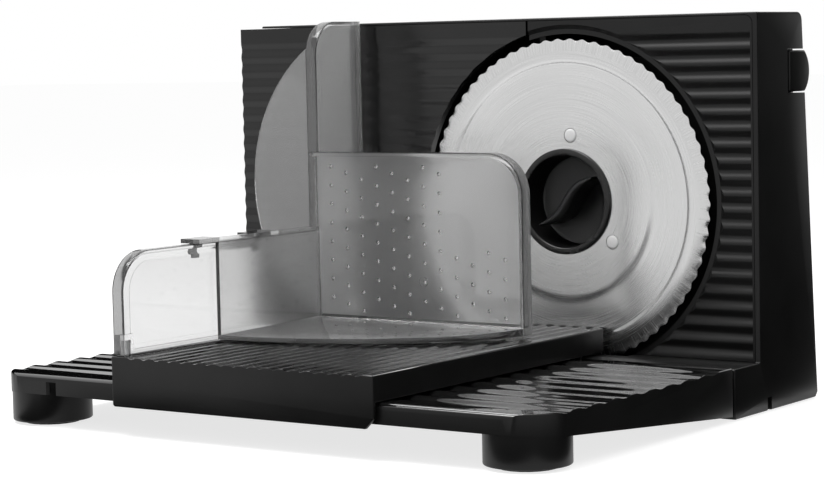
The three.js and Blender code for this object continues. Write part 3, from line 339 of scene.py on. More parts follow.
class Finish:
    """A material whose colour, gloss and grain vary by noise over the piece."""

    def __init__(self, name):
        self.material = bpy.data.materials.new(name)
        self.material.use_nodes = True
        self.tree = self.material.node_tree
        self.shader = next(n for n in self.tree.nodes if n.type == "BSDF_PRINCIPLED")
        self.coords = self.add("ShaderNodeTexCoord").outputs["Object"]

    def add(self, kind, **values):
        node = self.tree.nodes.new(kind)
        for key, value in values.items():
            setattr(node, key, value)
        return node

    def link(self, source, target):
        self.tree.links.new(source, target)

    def set(self, **values):
        for key, value in values.items():
            self.shader.inputs[key.replace("_", " ")].default_value = value
        return self

    def noise(self, scale, detail=3.0, vector=None):
        node = self.add("ShaderNodeTexNoise")
        node.inputs["Scale"].default_value = scale
        node.inputs["Detail"].default_value = detail
        self.link(vector or self.coords, node.inputs["Vector"])
        return node.outputs["Fac"]

    def spread(self, source, low, high, start=0.35, end=0.65):
        node = self.add("ShaderNodeMapRange")
        node.inputs["From Min"].default_value = start
        node.inputs["From Max"].default_value = end
        node.inputs["To Min"].default_value = low
        node.inputs["To Max"].default_value = high
        self.link(source, node.inputs["Value"])
        return node.outputs["Result"]

    def greys(self, source, dark, light):
        """A grey between dark and light, by the source's level."""
        node = self.add("ShaderNodeValToRGB")
        stops = ((0.3, dark), (0.7, light))
        for element, (position, grey) in zip(node.color_ramp.elements, stops):
            element.position = position
            element.color = (grey, grey, grey, 1)
        self.link(source, node.inputs["Fac"])
        return node.outputs["Color"]

    def bump(self, height, strength, distance, below=None):
        node = self.add("ShaderNodeBump")
        node.inputs["Strength"].default_value = strength
        node.inputs["Distance"].default_value = distance
        self.link(height, node.inputs["Height"])
        if below:
            self.link(below, node.inputs["Normal"])
        return node.outputs["Normal"]

    def math(self, operation, a, b=None):
        node = self.add("ShaderNodeMath", operation=operation)
        for socket, value in zip(node.inputs, (a, b)):
            if value is None:
                continue
            if isinstance(value, (int, float)):
                socket.default_value = value
            else:
                self.link(value, socket)
        return node.outputs[0]

    def plane(self, u, u_scale, v, v_scale):
        """A place to take noise at, from two sources and their scales."""
        node = self.add("ShaderNodeCombineXYZ")
        self.link(self.math("MULTIPLY", u, u_scale), node.inputs["X"])
        self.link(self.math("MULTIPLY", v, v_scale), node.inputs["Y"])
        return node.outputs["Vector"]

    def into(self, socket, source):
        self.link(source, self.shader.inputs[socket])
        return self


def moulded(name, tone, rough, grain, specular, coat=0.0):
    """Moulded plastic: a faint cloudiness in colour, handled patches in gloss, a fine grain."""
    finish = Finish(name)
    finish.set(Specular_IOR_Level=specular, Coat_Weight=coat)
    finish.into("Base Color", finish.greys(finish.noise(35.0), *tone))
    finish.into("Roughness", finish.spread(finish.noise(14.0, 5.0), *rough))
    fine = finish.bump(finish.noise(2600.0, 2.0), grain, 0.0001)
    finish.into("Normal", finish.bump(finish.noise(45.0, 1.0), 0.05, 0.001, fine))
    return finish.material


def clear_plastic(name, tint, rough, grain, clearness):
    """Clear plastic with a slight milkiness."""
    finish = Finish(name)
    finish.set(Base_Color=(tint, tint, tint, 1), IOR=1.49, Transmission_Weight=clearness)
    finish.into("Roughness", finish.spread(finish.noise(25.0, 4.0), *rough))
    finish.into("Normal", finish.bump(finish.noise(900.0, 2.0), grain, 0.0002))
    return finish.material


def plain_metal(name, grey, tone, rough):
    """Metal with darker clouds and a fine grain."""
    finish = Finish(name)
    finish.set(Metallic=1.0)
    finish.into("Roughness", finish.spread(finish.noise(220.0, 4.0), *rough))
    cloud = finish.add("ShaderNodeMix", data_type="RGBA")
    cloud.inputs["A"].default_value = (*[grey * t for t in tone], 1)
    cloud.inputs["B"].default_value = (*[grey * t * 0.8 for t in tone], 1)
    finish.link(finish.spread(finish.noise(90.0, 3.0), 0.0, 1.0), cloud.inputs["Factor"])
    finish.into("Base Color", cloud.outputs["Result"])
    finish.into("Normal", finish.bump(finish.noise(1800.0, 2.0), 0.08, 0.0001))
    return finish.material


def blade_steel():
    """Steel brushed in circles, with radial grinding marks on the edge bevel."""
    finish = Finish("blade_steel")
    finish.set(Metallic=1.0, Anisotropic=0.3, Anisotropic_Rotation=0.25)
    centred = finish.add("ShaderNodeVectorMath", operation="SUBTRACT")
    finish.link(finish.coords, centred.inputs[0])
    centred.inputs[1].default_value = place(0, 0, AXIS_HEIGHT)
    parts = finish.add("ShaderNodeSeparateXYZ")
    finish.link(centred.outputs["Vector"], parts.inputs["Vector"])
    x, z = parts.outputs["X"], parts.outputs["Z"]
    squares = finish.math("ADD", finish.math("MULTIPLY", x, x), finish.math("MULTIPLY", z, z))
    radius = finish.math("SQRT", squares)
    angle = finish.math("ARCTAN2", z, x)
    brushed = finish.noise(1.0, 4.0, finish.plane(radius, 2400.0, angle, 1.2))
    ground = finish.noise(1.0, 4.0, finish.plane(radius, 60.0, angle, 90.0))
    on_bevel = finish.spread(radius, 0.0, 1.0, BEVEL_START * MM, (BEVEL_START + BEVEL_BLEND) * MM)
    mixed = finish.add("ShaderNodeMix", data_type="FLOAT")
    finish.link(on_bevel, mixed.inputs["Factor"])
    finish.link(brushed, mixed.inputs["A"])
    finish.link(ground, mixed.inputs["B"])
    marks = mixed.outputs["Result"]
    finish.into("Base Color", finish.greys(marks, 0.54, 0.63))
    finish.into("Roughness", finish.spread(marks, 0.17, 0.29))
    finish.into("Normal", finish.bump(marks, 0.03, 0.0001))
    tangent = finish.add("ShaderNodeTangent", direction_type="RADIAL", axis="Y")
    finish.into("Tangent", tangent.outputs["Tangent"])
    return finish.material


def rubber():
    """Matt rubber with a coarse grain."""
    finish = Finish("rubber")
    finish.into("Base Color", finish.greys(finish.noise(60.0), 0.016, 0.028))
    finish.into("Roughness", finish.spread(finish.noise(120.0), 0.72, 0.9))
    finish.into("Normal", finish.bump(finish.noise(1400.0, 3.0), 0.25, 0.0002))
    return finish.material


LOOKS = {
    "black_plastic": moulded("black_plastic", tone=(0.005, 0.008), rough=(0.32, 0.40), grain=0.05,
                             specular=0.24),
    "dark_plastic": moulded("dark_plastic", tone=(0.006, 0.010), rough=(0.42, 0.55), grain=0.15,
                            specular=0.26),
    "control_plastic": moulded("control_plastic", tone=(0.003, 0.005), rough=(0.24, 0.34), grain=0.05,
                               specular=0.45),
    "clear_plastic": clear_plastic("clear_plastic", tint=0.86, rough=(0.02, 0.06), grain=0.01,
                                   clearness=0.85),
    "blade_steel": blade_steel(),
    "bright_steel": plain_metal("bright_steel", grey=0.62, tone=(1, 1, 1.01), rough=(0.22, 0.36)),
    "drive_steel": plain_metal("drive_steel", grey=0.32, tone=(1, 1.01, 1.03), rough=(0.35, 0.5)),
    "brass": plain_metal("brass", grey=0.55, tone=(1, 0.76, 0.34), rough=(0.3, 0.45)),
    "white_nylon": moulded("white_nylon", tone=(0.72, 0.80), rough=(0.34, 0.46), grain=0.06, specular=0.4),
    "rubber": rubber(),
}

# Finishes of single faces, and of the smoother plates; two of the clear ones are darker copies that paint
# shade on edges, tops, hooks and rims
FROSTED = clear_plastic("clear_plastic_frosted", tint=0.99, rough=(0.42, 0.48), grain=0.03, clearness=0.955)
GLOSSY = clear_plastic("clear_plastic_glossy", tint=0.99, rough=(0.02, 0.05), grain=0.01, clearness=0.955)
# Painted shade: a dark copy of the clear plastic for edges, tops and hooks
SHADED_EDGE = clear_plastic("clear_plastic_painted_edge_shade", tint=0.12, rough=(0.05, 0.10), grain=0.01, clearness=0.97)
# Painted shade, lighter: a darker copy of the clear plastic for rims
SHADED_RIM = clear_plastic("clear_plastic_painted_rim_shade", tint=0.35, rough=(0.05, 0.10), grain=0.01, clearness=0.95)
SATIN = clear_plastic("clear_plastic_satin", tint=0.9, rough=(0.20, 0.26), grain=0.02, clearness=0.95)
SMOOTH = moulded("black_plastic_smooth", tone=(0.005, 0.008), rough=(0.16, 0.22), grain=0.03, specular=0.35)
POLISHED = moulded("black_plastic_polished", tone=(0.003, 0.005), rough=(0.04, 0.08), grain=0.01,
                   specular=0.6, coat=0.25)
GLOSSY_TRAY = moulded("black_plastic_glossy", tone=(0.003, 0.005), rough=(0.04, 0.08), grain=0.01,
                      specular=0.6, coat=0.8)


def upward(face):
    """1 for faces that look up, else 0."""
    return 1 if face.normal.z > FACING else 0


def wall_face(face):
    """Finish of the wall's faces: 0 for the sheet and the guard, 1 for rounded edges with dark painted shade,
    2 for the rim with lighter painted shade.
    """
    side = abs(face.normal.x)
    if side > SQUARE or face.center.x < place(WALL_OUT, 0, 0).x:
        return 0
    return 1 if side > ASLANT else 2


def pusher_face(face):
    """Finish of the pusher's faces: 0 clear, 1 frosted, 2 dark painted shade on edges, tops and hooks, 3
    satin, 4 lighter painted shade on the plate's rim.
    """
    x, y, z = face.normal
    spot = face.center - ORIGIN
    top = z > FACING and spot.z > (WING_TOP - SHEET / 2) * MM
    hook = spot.x < (PUSH_LEFT - GAP) * MM
    wing_end = y < -SQUARE and spot.y < (WING_FRONT + GAP) * MM
    floor_edge = abs(z) < ASLANT and spot.z < (PUSH_FOOT + SHEET) * MM
    on_plate = spot.x > (PUSH_LEFT + 2 * SHEET) * MM and spot.z > (PUSH_FOOT + 2 * FLOOR_RISE) * MM
    if on_plate and abs(y) < ASLANT:
        return 4
    if top or hook or wing_end or floor_edge:
        return 2
    if y > SQUARE:
        return 1
    if x < -SQUARE:
        return 3
    aslant = max(abs(x), abs(y), abs(z)) < SQUARE
    corner = x > FACING and y < -FACING
    return 2 if aslant and not corner else 0


def fit(piece, body, look, *nodes, angle=32, finishes=None, pick=None):
    """Finishes a piece, face by face where a pick is given, and puts it in the place of its solids."""
    shade(piece, angle)
    piece.data.materials.clear()
    for finish in finishes or [LOOKS[look]]:
        piece.data.materials.append(finish)
    for face in piece.data.polygons:
        face.material_index = pick(face) if pick else 0
    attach(piece, body)
    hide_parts(*nodes)
    return piece


# Casing

def rear_at(height):
    return REAR_TOP + (ROOF_TOP - height) * (REAR_BOTTOM - REAR_TOP) / (ROOF_TOP - REAR_CORNER)


def inner_side(inset):
    shelf = PANEL_THICK + GAP
    return [
        (-OVER, ROOF_UNDER), (-OVER, PLINTH_TOP), (shelf, PLINTH_TOP), (shelf, PLINTH_TOP - inset),
        (PLINTH_FRONT + inset, PLINTH_TOP - inset), (PLINTH_FRONT + inset, CASING_BOTTOM - OVER),
        (REAR_BOTTOM - inset, CASING_BOTTOM - OVER), (REAR_BOTTOM - inset, CASING_BOTTOM + REAR_CORNER),
        (REAR_TOP - inset, ROOF_UNDER),
    ]


def inner_room(left, right, within):
    """The hollow from left to right, kept to what lies within another shape."""
    return carve(prism("x", inner_side(WALL), left, right), "INTERSECT", within)


def chamber_outline(inset):
    left, right = CHAMBER_LEFT + inset, CASING_RIGHT - inset
    step_left = PANEL_SEAM + SEAM_LAP + inset
    top = ROOF_UNDER
    return rounded([
        (left, CASING_BOTTOM - OVER, 0), (right, CASING_BOTTOM - OVER, 0), (right, top, PANEL_CORNER + GAP),
        (step_left, top, 0), (step_left, CHAMBER_STEP - inset, 0), (left, CHAMBER_STEP - inset, 0),
    ])


def casing_shell():
    side = rounded([
        (0, ROOF_TOP, ROOF_ROUND), (0, PLINTH_TOP, STEP_ROUND), (PLINTH_FRONT, PLINTH_TOP, PLINTH_ROUND),
        (PLINTH_FRONT, CASING_BOTTOM, TOE_ROUND), (REAR_BOTTOM - REAR_CORNER, CASING_BOTTOM, HEEL_ROUND),
        (REAR_BOTTOM, CASING_BOTTOM + REAR_CORNER, HEEL_ROUND), (REAR_TOP, ROOF_TOP, REAR_ROUND),
    ], 4)
    return soften(prism("x", side, CASING_LEFT, CASING_RIGHT, "casing"), CASING_SOFT)


def casing_rooms():
    """Hollows for the drive, the panel and the blade, in the base, behind the stop plate and at its step."""
    chamber = inner_room(CASING_LEFT, CASING_RIGHT,
                         prism("y", chamber_outline(WALL), PLINTH_FRONT, REAR_BOTTOM))
    panel_room = block(CHAMBER_LEFT - OVER, PANEL_SEAM + 2 * WALL, -OVER, PANEL_THICK + GAP,
                       PLINTH_TOP, ROOF_UNDER)
    blade_slot = prism("y", circle(RECESS_RADIUS, 0, AXIS_HEIGHT, 128), BLADE_FRONT - 4 * OVER,
                       PANEL_THICK + 2 * GAP)
    base_room = inner_room(CASING_LEFT + WALL, CASING_RIGHT - WALL,
                           block(CASING_LEFT, CASING_RIGHT, PLINTH_FRONT, REAR_BOTTOM, 0, PLINTH_TOP - WALL))
    left_room = inner_room(CASING_LEFT + WALL, CHAMBER_LEFT,
                           block(CASING_LEFT, CASING_RIGHT, -2 * OVER, REAR_BOTTOM, PLINTH_TOP, ROOF_UNDER))
    step_room = inner_room(CHAMBER_LEFT - OVER, PANEL_SEAM + GAP,
                           block(CASING_LEFT, CASING_RIGHT, -2 * OVER, REAR_BOTTOM, CHAMBER_STEP, ROOF_UNDER))
    return [chamber, panel_room, blade_slot, base_room, left_room, step_room]


def casing_openings():
    """The open left end, the outlet for slices, the notch for the cord and the room for the button."""
    left_end = block(CASING_LEFT - OVER, CASING_LEFT + WALL + OVER, -OVER, LEFT_END_DEPTH,
                     PLINTH_TOP, ROOF_UNDER)
    arch = rounded([
        (OUTLET_LEFT, PLINTH_TOP, 0), (OUTLET_RIGHT, PLINTH_TOP, 0),
        (OUTLET_RIGHT, OUTLET_TOP, OUTLET_ROUND), (OUTLET_LEFT, OUTLET_TOP, OUTLET_ROUND),
    ])
    outlet = prism("y", arch, OUTLET_FRONT, REAR_BOTTOM + OVER)
    cord = block(CASING_RIGHT - CORD_DEPTH, CASING_RIGHT + OVER, CORD_FRONT, CORD_REAR,
                 0, CASING_BOTTOM + CORD_RISE)
    button_room = block(BUTTON_LEFT - SLIDE_GAP, CASING_RIGHT + OVER,
                        BUTTON_FRONT - BUTTON_TRAVEL - SLIDE_GAP, REAR_BOTTOM,
                        BUTTON_LOW - SLIDE_GAP, BUTTON_HIGH + SLIDE_GAP)
    return [left_end, outlet, cord, button_room]


def casing():
    body = casing_shell()
    cut(body, *casing_rooms(), *casing_openings())
    dial_wall = rear_at(DIAL_HEIGHT)
    pad = soften(prism("y", circle(DIAL_BOSS, DIAL_X, DIAL_HEIGHT), dial_wall - WALL, dial_wall + WALL),
                 DIAL_BOSS_SOFT)
    rod_wall = rear_at(ROD_HEIGHT)
    rod_end = rod_wall - WALL / 2
    seats = [prism("y", circle(GUIDE_RADIUS, x, ROD_HEIGHT), rod_wall - 2 * WALL, rod_end)
             for x in ROD_PLACES]
    join(body, pad, *seats)
    bore = prism("y", circle(DIAL_SHAFT + GAP, DIAL_X, DIAL_HEIGHT), 0, REAR_BOTTOM + OVER)
    sockets = [prism("y", circle(ROD_RADIUS + GAP, x, ROD_HEIGHT), ROD_FRONT, rod_end) for x in ROD_PLACES]
    cut(body, bore, *sockets)
    return fit(body, "housing", "black_plastic", "main_casing")


# Front panel and stop plate

def ribbed(x0, x1, low, high, back, depth, name):
    """A plate along X whose front carries the rib waves."""
    first = RIB_TOP - RIB_COUNT * RIB_PITCH
    crests = waves(first, RIB_COUNT, RIB_PITCH, depth, depth, RIB_STEPS)
    front = [(depth - level, z) for z, level in crests if z > low]
    outline = [(front[0][0], low)] + front + [(0, high), (back, high), (back, low)]
    return prism("x", outline, x0, x1, name)


def panel():
    right = CASING_RIGHT - WALL - GAP
    low, high = PLINTH_TOP + GAP, ROOF_UNDER - GAP
    back = RIB_DEPTH + WALL
    rim = RECESS_RADIUS + WALL
    plate = ribbed(PANEL_SEAM + GAP, right - PANEL_BORDER, low, high, back, RIB_DEPTH, "panel")
    mouth = rim + RIB_END_SLOPE * (1 + OVER / RIB_DEPTH)
    cut(plate, turned([(0, -OVER), (mouth, -OVER), (rim, RIB_DEPTH), (0, RIB_DEPTH)], 0, AXIS_HEIGHT, 160))
    border = block(right - PANEL_BORDER - GAP, right, 0, back, low, high)
    disc = prism("y", circle(rim, 0, AXIS_HEIGHT, 160), RIB_DEPTH, PANEL_THICK)
    carve(disc, "INTERSECT", block(CHAMBER_LEFT, right, -OVER, PANEL_THICK + OVER, low, CHAMBER_STEP))
    join(plate, border, disc)
    left = PANEL_SEAM - PANEL_REACH
    corner = rounded([(left, low - OVER, 0), (right, low - OVER, 0), (right, high, PANEL_CORNER),
                      (left, high, 0)])
    carve(plate, "INTERSECT", prism("y", corner, -OVER, PANEL_THICK + OVER))
    cut(plate, prism("y", circle(RECESS_RADIUS, 0, AXIS_HEIGHT, 160), -OVER, RECESS_FLOOR))
    well = prism("y", circle(WELL_RADIUS + WALL, 0, AXIS_HEIGHT), RECESS_FLOOR + OVER, WELL_FLOOR + WALL)
    boss = prism("y", circle(BOSS_RADIUS, 0, AXIS_HEIGHT), WELL_FLOOR + OVER, BOSS_END)
    posts = []
    for degrees in POST_ANGLES:
        x = POST_CIRCLE * cos(radians(degrees))
        z = AXIS_HEIGHT + POST_CIRCLE * sin(radians(degrees))
        posts.append(prism("y", circle(SCREW_POST, x, z, 24), RECESS_FLOOR + OVER, SCREW_POST_END))
    join(plate, well, boss, *posts)
    cut(plate, prism("y", circle(WELL_RADIUS, 0, AXIS_HEIGHT), 0, WELL_FLOOR),
        prism("y", circle(BUSH_BORE, 0, AXIS_HEIGHT), 0, BOSS_END + OVER))
    return fit(plate, "housing", "black_plastic", "front_panel")


def stop_plate():
    right = PANEL_SEAM - STOP_SEAM_GAP
    plate = ribbed(STOP_LEFT, right, STOP_BOTTOM, ROOF_UNDER - GAP, STOP_THICK, STOP_RIB_DEPTH,
                   "stop_plate_ribbed")
    end = rear_at(ROD_HEIGHT) - 2 * WALL - STOP_TRAVEL - GAP
    cut(plate, prism("y", circle(STOP_HOLLOW, 0, AXIS_HEIGHT, 160), -OVER, end))
    start = STOP_RIB_DEPTH + OVER
    guides = [prism("y", circle(GUIDE_RADIUS, x, ROD_HEIGHT, 40), start, end) for x in ROD_PLACES]
    nut = prism("y", circle(DIAL_BOSS, DIAL_X, DIAL_HEIGHT, 48), start, end)
    join(plate, *guides, nut)
    bores = [circle(ROD_RADIUS + GAP, x, ROD_HEIGHT, 24) for x in ROD_PLACES]
    bores.append(circle(DIAL_SHAFT + GAP, DIAL_X, DIAL_HEIGHT, 24))
    cut(plate, *[prism("y", bore, STOP_THICK, end + OVER) for bore in bores])
    return fit(plate, "stop", "black_plastic", "stop_plate", finishes=[SMOOTH])


# Blade, rivets and knob

def blade_disc():
    front = BLADE_FRONT
    profile = [(BLADE_BORE, front + BORE_CHAMFER), (BLADE_BORE + BORE_CHAMFER, front)]
    profile += [(radius, front + depth) for radius, depth in BLADE_RINGS]
    profile += [(BLADE_RADIUS, BLADE_BACK - EDGE_THICK), (BLADE_RADIUS, BLADE_BACK)]
    profile += [(BLADE_RADIUS - EDGE_BAND, BLADE_BACK), (BLADE_BORE, BLADE_BACK)]
    sides = BLADE_WAVES * WAVE_STEPS
    points, faces = [], []
    for radius, y in profile:
        share = max(0.0, (radius - WAVE_START) / (BLADE_RADIUS - WAVE_START)) ** 2
        scallop = SCALLOP_DEPTH if y < BLADE_BACK else 0
        for i in range(sides):
            turn = 2 * pi * i / sides
            dip = share * (1 - cos(BLADE_WAVES * turn)) / 2
            reach = radius - WAVE_DEPTH * dip
            points.append((reach * cos(turn), y + scallop * dip, AXIS_HEIGHT + reach * sin(turn)))
    rings = len(profile)
    for ring in range(rings):
        faces += band(ring * sides, (ring + 1) % rings * sides, sides)
    return make("blade_disc", points, faces)


def blade():
    disc = blade_disc()
    spots = []
    for degrees in RIVET_ANGLES:
        turn = radians(degrees)
        spots.append((RIVET_CIRCLE * cos(turn), AXIS_HEIGHT + RIVET_CIRCLE * sin(turn)))
    holes = [circle(RIVET_RADIUS + GAP, x, z, 40) for x, z in spots]
    cut(disc, *[prism("y", hole, BLADE_FRONT - OVER, BLADE_BACK + OVER) for hole in holes])
    fit(disc, "blade_set", "blade_steel", "blade")
    head = BLADE_FRONT - RIVET_PROUD
    profile = [(radius, head + depth) for radius, depth in RIVET_CROWN]
    profile += [(RIVET_RADIUS, HUB_BACK), (0, HUB_BACK)]
    for number, (x, z) in enumerate(spots, 1):
        rivet = turned(profile, x, z, 32, f"rivet_{number}")
        fit(rivet, "blade_set", "white_nylon", f"blade_rivet_{number}", angle=50)


def bar_outline(share):
    """The grip bar seen from the front: a leaf with a slight S, at a share of its full width."""
    outline = []
    steps = 24
    turn = radians(KNOB_BAR_ANGLE)
    for side in (1, -1):
        for i in range(steps + 1):
            along_bar = side * (i / steps - 0.5)
            bend = KNOB_BAR_SWEEP * sin(2 * pi * along_bar)
            width = share * (KNOB_BAR_WIDTH + (KNOB_BAR_TIP - KNOB_BAR_WIDTH) * (2 * along_bar) ** 2)
            u, v = along_bar * KNOB_BAR_LENGTH, bend - side * width / 2
            outline.append((u * cos(turn) - v * sin(turn), AXIS_HEIGHT + u * sin(turn) + v * cos(turn)))
    return outline


def knob_bar(back):
    """The grip bar with a rounded front edge."""
    points, faces = [], []
    rounds = 6
    for i in range(rounds + 1):
        turn = pi / 2 * i / rounds
        depth = KNOB_FRONT + KNOB_BAR_SET + KNOB_BAR_WIDTH / 2 * (1 - cos(turn))
        share = KNOB_BAR_CREST + (1 - KNOB_BAR_CREST) * sin(turn)
        points += [(x, depth, z) for x, z in bar_outline(share)]
    points += [(x, back, z) for x, z in bar_outline(1.0)]
    count = len(bar_outline(1.0))
    last = rounds + 1
    for ring in range(last):
        faces += band(ring * count, (ring + 1) * count, count)
    faces.append(list(range(count)))
    faces.append(list(range(last * count, (last + 1) * count)))
    return make("tool", points, faces)


def knob():
    dish = KNOB_RADIUS - KNOB_RIM
    floor = KNOB_FRONT + KNOB_DISH
    back = floor + KNOB_FLOOR
    lip = KNOB_FRONT + KNOB_LIP
    body_radius = BLADE_BORE - GAP
    profile = [(0, floor)]
    profile += [(dish - side, floor - end) for side, end in KNOB_DISH_ROUND]
    profile += [(dish + side, KNOB_FRONT + end) for side, end in KNOB_MOUTH_ROUND]
    profile += [(KNOB_RADIUS - side, KNOB_FRONT + end) for side, end in KNOB_RIM_ROUND]
    profile += [(KNOB_RADIUS, lip), (body_radius, lip), (body_radius, back), (0, back)]
    cup = turned(profile, 0, AXIS_HEIGHT, 96, "lock_knob_dished")
    join(cup, knob_bar(floor + GAP))
    return fit(cup, "lock_knob", "control_plastic", "blade_lock_knob", angle=40)


# Button and dial

def button():
    half = (BUTTON_HIGH - BUTTON_LOW) / 2
    radius = (half ** 2 + BUTTON_BULGE ** 2) / (2 * BUTTON_BULGE)
    sweep = asin(half / radius)
    side = [(BUTTON_FRONT, BUTTON_HIGH), (BUTTON_FRONT, BUTTON_LOW)]
    steps = 24
    for i in range(steps + 1):
        turn = sweep * (2 * i / steps - 1)
        side.append((BUTTON_REAR + radius * (cos(turn) - 1), BUTTON_LOW + half + radius * sin(turn)))
    body = soften(prism("x", side, BUTTON_LEFT, CASING_RIGHT, "push_button_cap"), BUTTON_SOFT, 4)
    fin_right, fin_rear = CASING_RIGHT - FIN_INSET, BUTTON_REAR - BUTTON_BULGE - OVER
    levels = ((BUTTON_LOW - FIN_RISE, BUTTON_LOW + OVER), (BUTTON_HIGH - OVER, BUTTON_HIGH + FIN_RISE))
    fins = [block(BUTTON_LEFT, fin_right, BUTTON_FRONT, fin_rear, low, high) for low, high in levels]
    join(body, *fins)
    return fit(body, "button", "control_plastic", "push_button", angle=40, finishes=[LOOKS["black_plastic"]])


def dial():
    front = rear_at(DIAL_HEIGHT) + WALL + GAP
    back = front + DIAL_THICK
    bore = DIAL_SHAFT + GAP
    profile = [(0, back - DIAL_CAP), (bore, back - DIAL_CAP), (bore, front)]
    profile += [(DIAL_RADIUS - DIAL_CHAMFER, front), (DIAL_RADIUS, front + DIAL_CHAMFER)]
    profile += [(DIAL_RADIUS - inset, back - depth) for inset, depth in DIAL_EDGE]
    profile.append((0, back - DIAL_SINK))
    body = turned(profile, DIAL_X, DIAL_HEIGHT, 96, "thickness_knob")
    flutes = []
    for x, z in circle(DIAL_RADIUS + FLUTE_OUT, DIAL_X, DIAL_HEIGHT, FLUTE_COUNT):
        flutes.append(prism("y", circle(FLUTE_RADIUS, x, z, 16), front + FLUTE_START, back + OVER))
    cut(body, *flutes)
    return fit(body, "dial", "dark_plastic", "thickness_dial", angle=40)


# Tray

def tray_plan(inset):
    left, right = TRAY_LEFT + inset, CASING_RIGHT - inset
    front, rear = TRAY_FRONT + inset, TRAY_REAR - inset
    corner = TRAY_CORNER - inset
    return rounded([(left, front, corner), (right, front, corner), (right, rear, 0), (left, rear, 0)], 16)


def tray():
    first = TRAY_REAR - TRAY_BAND - TRAY_WAVES * TRAY_PITCH
    top = waves(first, TRAY_WAVES, TRAY_PITCH, TRAY_CREST, TRAY_DEPTH, 24)
    corners = [(TRAY_REAR, TRAY_REAR_LOW, 0), (TRAY_REAR, TRAY_CREST, 0)]
    corners += [(y, z, 0) for y, z in reversed(top)]
    corners += [(TRAY_FRONT, TRAY_CREST, TRAY_EDGE), (TRAY_FRONT, TRAY_FRONT_LOW, 0)]
    underside = TRAY_CREST - TRAY_DEPTH - WALL
    body = prism("x", rounded(corners), TRAY_LEFT, CASING_RIGHT, "tray_waved")
    outer = soften(prism("z", tray_plan(0), -TRAY_REACH, TRAY_CREST + TRAY_CROWN), TRAY_SOFT)
    carve(body, "INTERSECT", outer)
    cut(body, prism("z", tray_plan(WALL), -OVER, underside))
    post_y = TRAY_FRONT + TRAY_CORNER
    spots = [(TRAY_LEFT + TRAY_CORNER, post_y), (CASING_RIGHT - TRAY_CORNER, post_y)]
    rounds = [circle(POST_RADIUS, x, y, 96) for x, y in spots]
    posts = [soften(prism("z", outline, POST_BOTTOM, underside + OVER), POST_SOFT) for outline in rounds]
    boss_front, boss_rear = TRAY_REAR - WALL - TRAY_SCREW_LENGTH, TRAY_REAR - WALL / 2
    bosses = [block(x - SCREW_POST, x + SCREW_POST, boss_front, boss_rear,
                    TRAY_SCREW_HEIGHT - SCREW_POST, underside + OVER) for x in TRAY_SCREWS]
    join(body, *posts, *bosses)
    pads = [prism("z", circle(PAD_ROOM, x, y, 48), 0, PAD_DEPTH) for x, y in spots]
    notch = block(NOTCH_LEFT, NOTCH_RIGHT, TRAY_FRONT - OVER, TRAY_FRONT + WALL, 0, NOTCH_TOP)
    holes = [prism("y", circle(SCREW_HOLE, x, TRAY_SCREW_HEIGHT, 16), TRAY_REAR - TRAY_SCREW_LENGTH,
                   TRAY_REAR + OVER) for x in TRAY_SCREWS]
    cut(body, *pads, notch, *holes)
    return fit(body, "housing", "black_plastic", "tray", finishes=[LOOKS["black_plastic"], GLOSSY_TRAY],
               pick=upward)


# Carriage

def carriage():
    skirt_top = DECK_TOP - DECK_DEPTH
    body = block(CAR_LEFT, CAR_RIGHT, CAR_FRONT, CAR_REAR, CAR_BOTTOM, DECK_TOP, "carriage_deck")
    soften(body, CAR_SOFT)
    skirt = rounded([
        (CAR_LEFT, SKIRT_BOTTOM, SKIRT_LEFT_ROUND),
        (CAR_RIGHT - SKIRT_CHAMFER, SKIRT_BOTTOM, SKIRT_RIGHT_ROUND),
        (CAR_RIGHT, SKIRT_BOTTOM + SKIRT_CHAMFER, SKIRT_RIGHT_ROUND),
        (CAR_RIGHT, skirt_top, 0), (CAR_LEFT, skirt_top, 0),
    ])
    front = soften(prism("y", skirt, CAR_FRONT, CAR_FRONT + WALL), SKIRT_SOFT)
    cut(body, block(CAR_LEFT + CAR_SIDE, CAR_RIGHT - CAR_SIDE, CAR_FRONT + WALL, CAR_REAR - WALL,
                    CAR_BOTTOM - OVER, DECK_TOP - DECK_THICK))
    keel = block(CAR_LEFT, CAR_RIGHT, KEEL_FRONT, KEEL_REAR, KEEL_BOTTOM, skirt_top)
    join(body, front, keel)
    left = CAR_LEFT + DECK_LEFT_BORDER
    count = int((CAR_RIGHT - DECK_RIGHT_BORDER - left) // DECK_PITCH)
    crests = waves(left, count, DECK_PITCH, DECK_TOP, DECK_DEPTH, DECK_STEPS)
    above = DECK_TOP + 3 * OVER
    grooves = crests + [(left + count * DECK_PITCH, above), (left, above)]
    cut(body, prism("y", grooves, CAR_FRONT - OVER, CAR_REAR + OVER))
    return fit(body, "carriage", "black_plastic", "carriage_table",
               finishes=[LOOKS["black_plastic"], POLISHED], pick=upward)


def wall_outline(inset):
    front, tall, rear = WALL_FRONT + inset, WALL_TALL + inset, WALL_REAR - inset
    foot, low, top = WALL_FOOT + inset, WALL_LOW - inset, WALL_TOP - inset
    return rounded([
        (front, foot, 0), (rear, foot, 0), (rear, top, 0),
        (tall, top, WALL_TOP_ROUND - inset), (tall, low, 0), (front, low, WALL_LOW_ROUND - inset),
    ], 12)


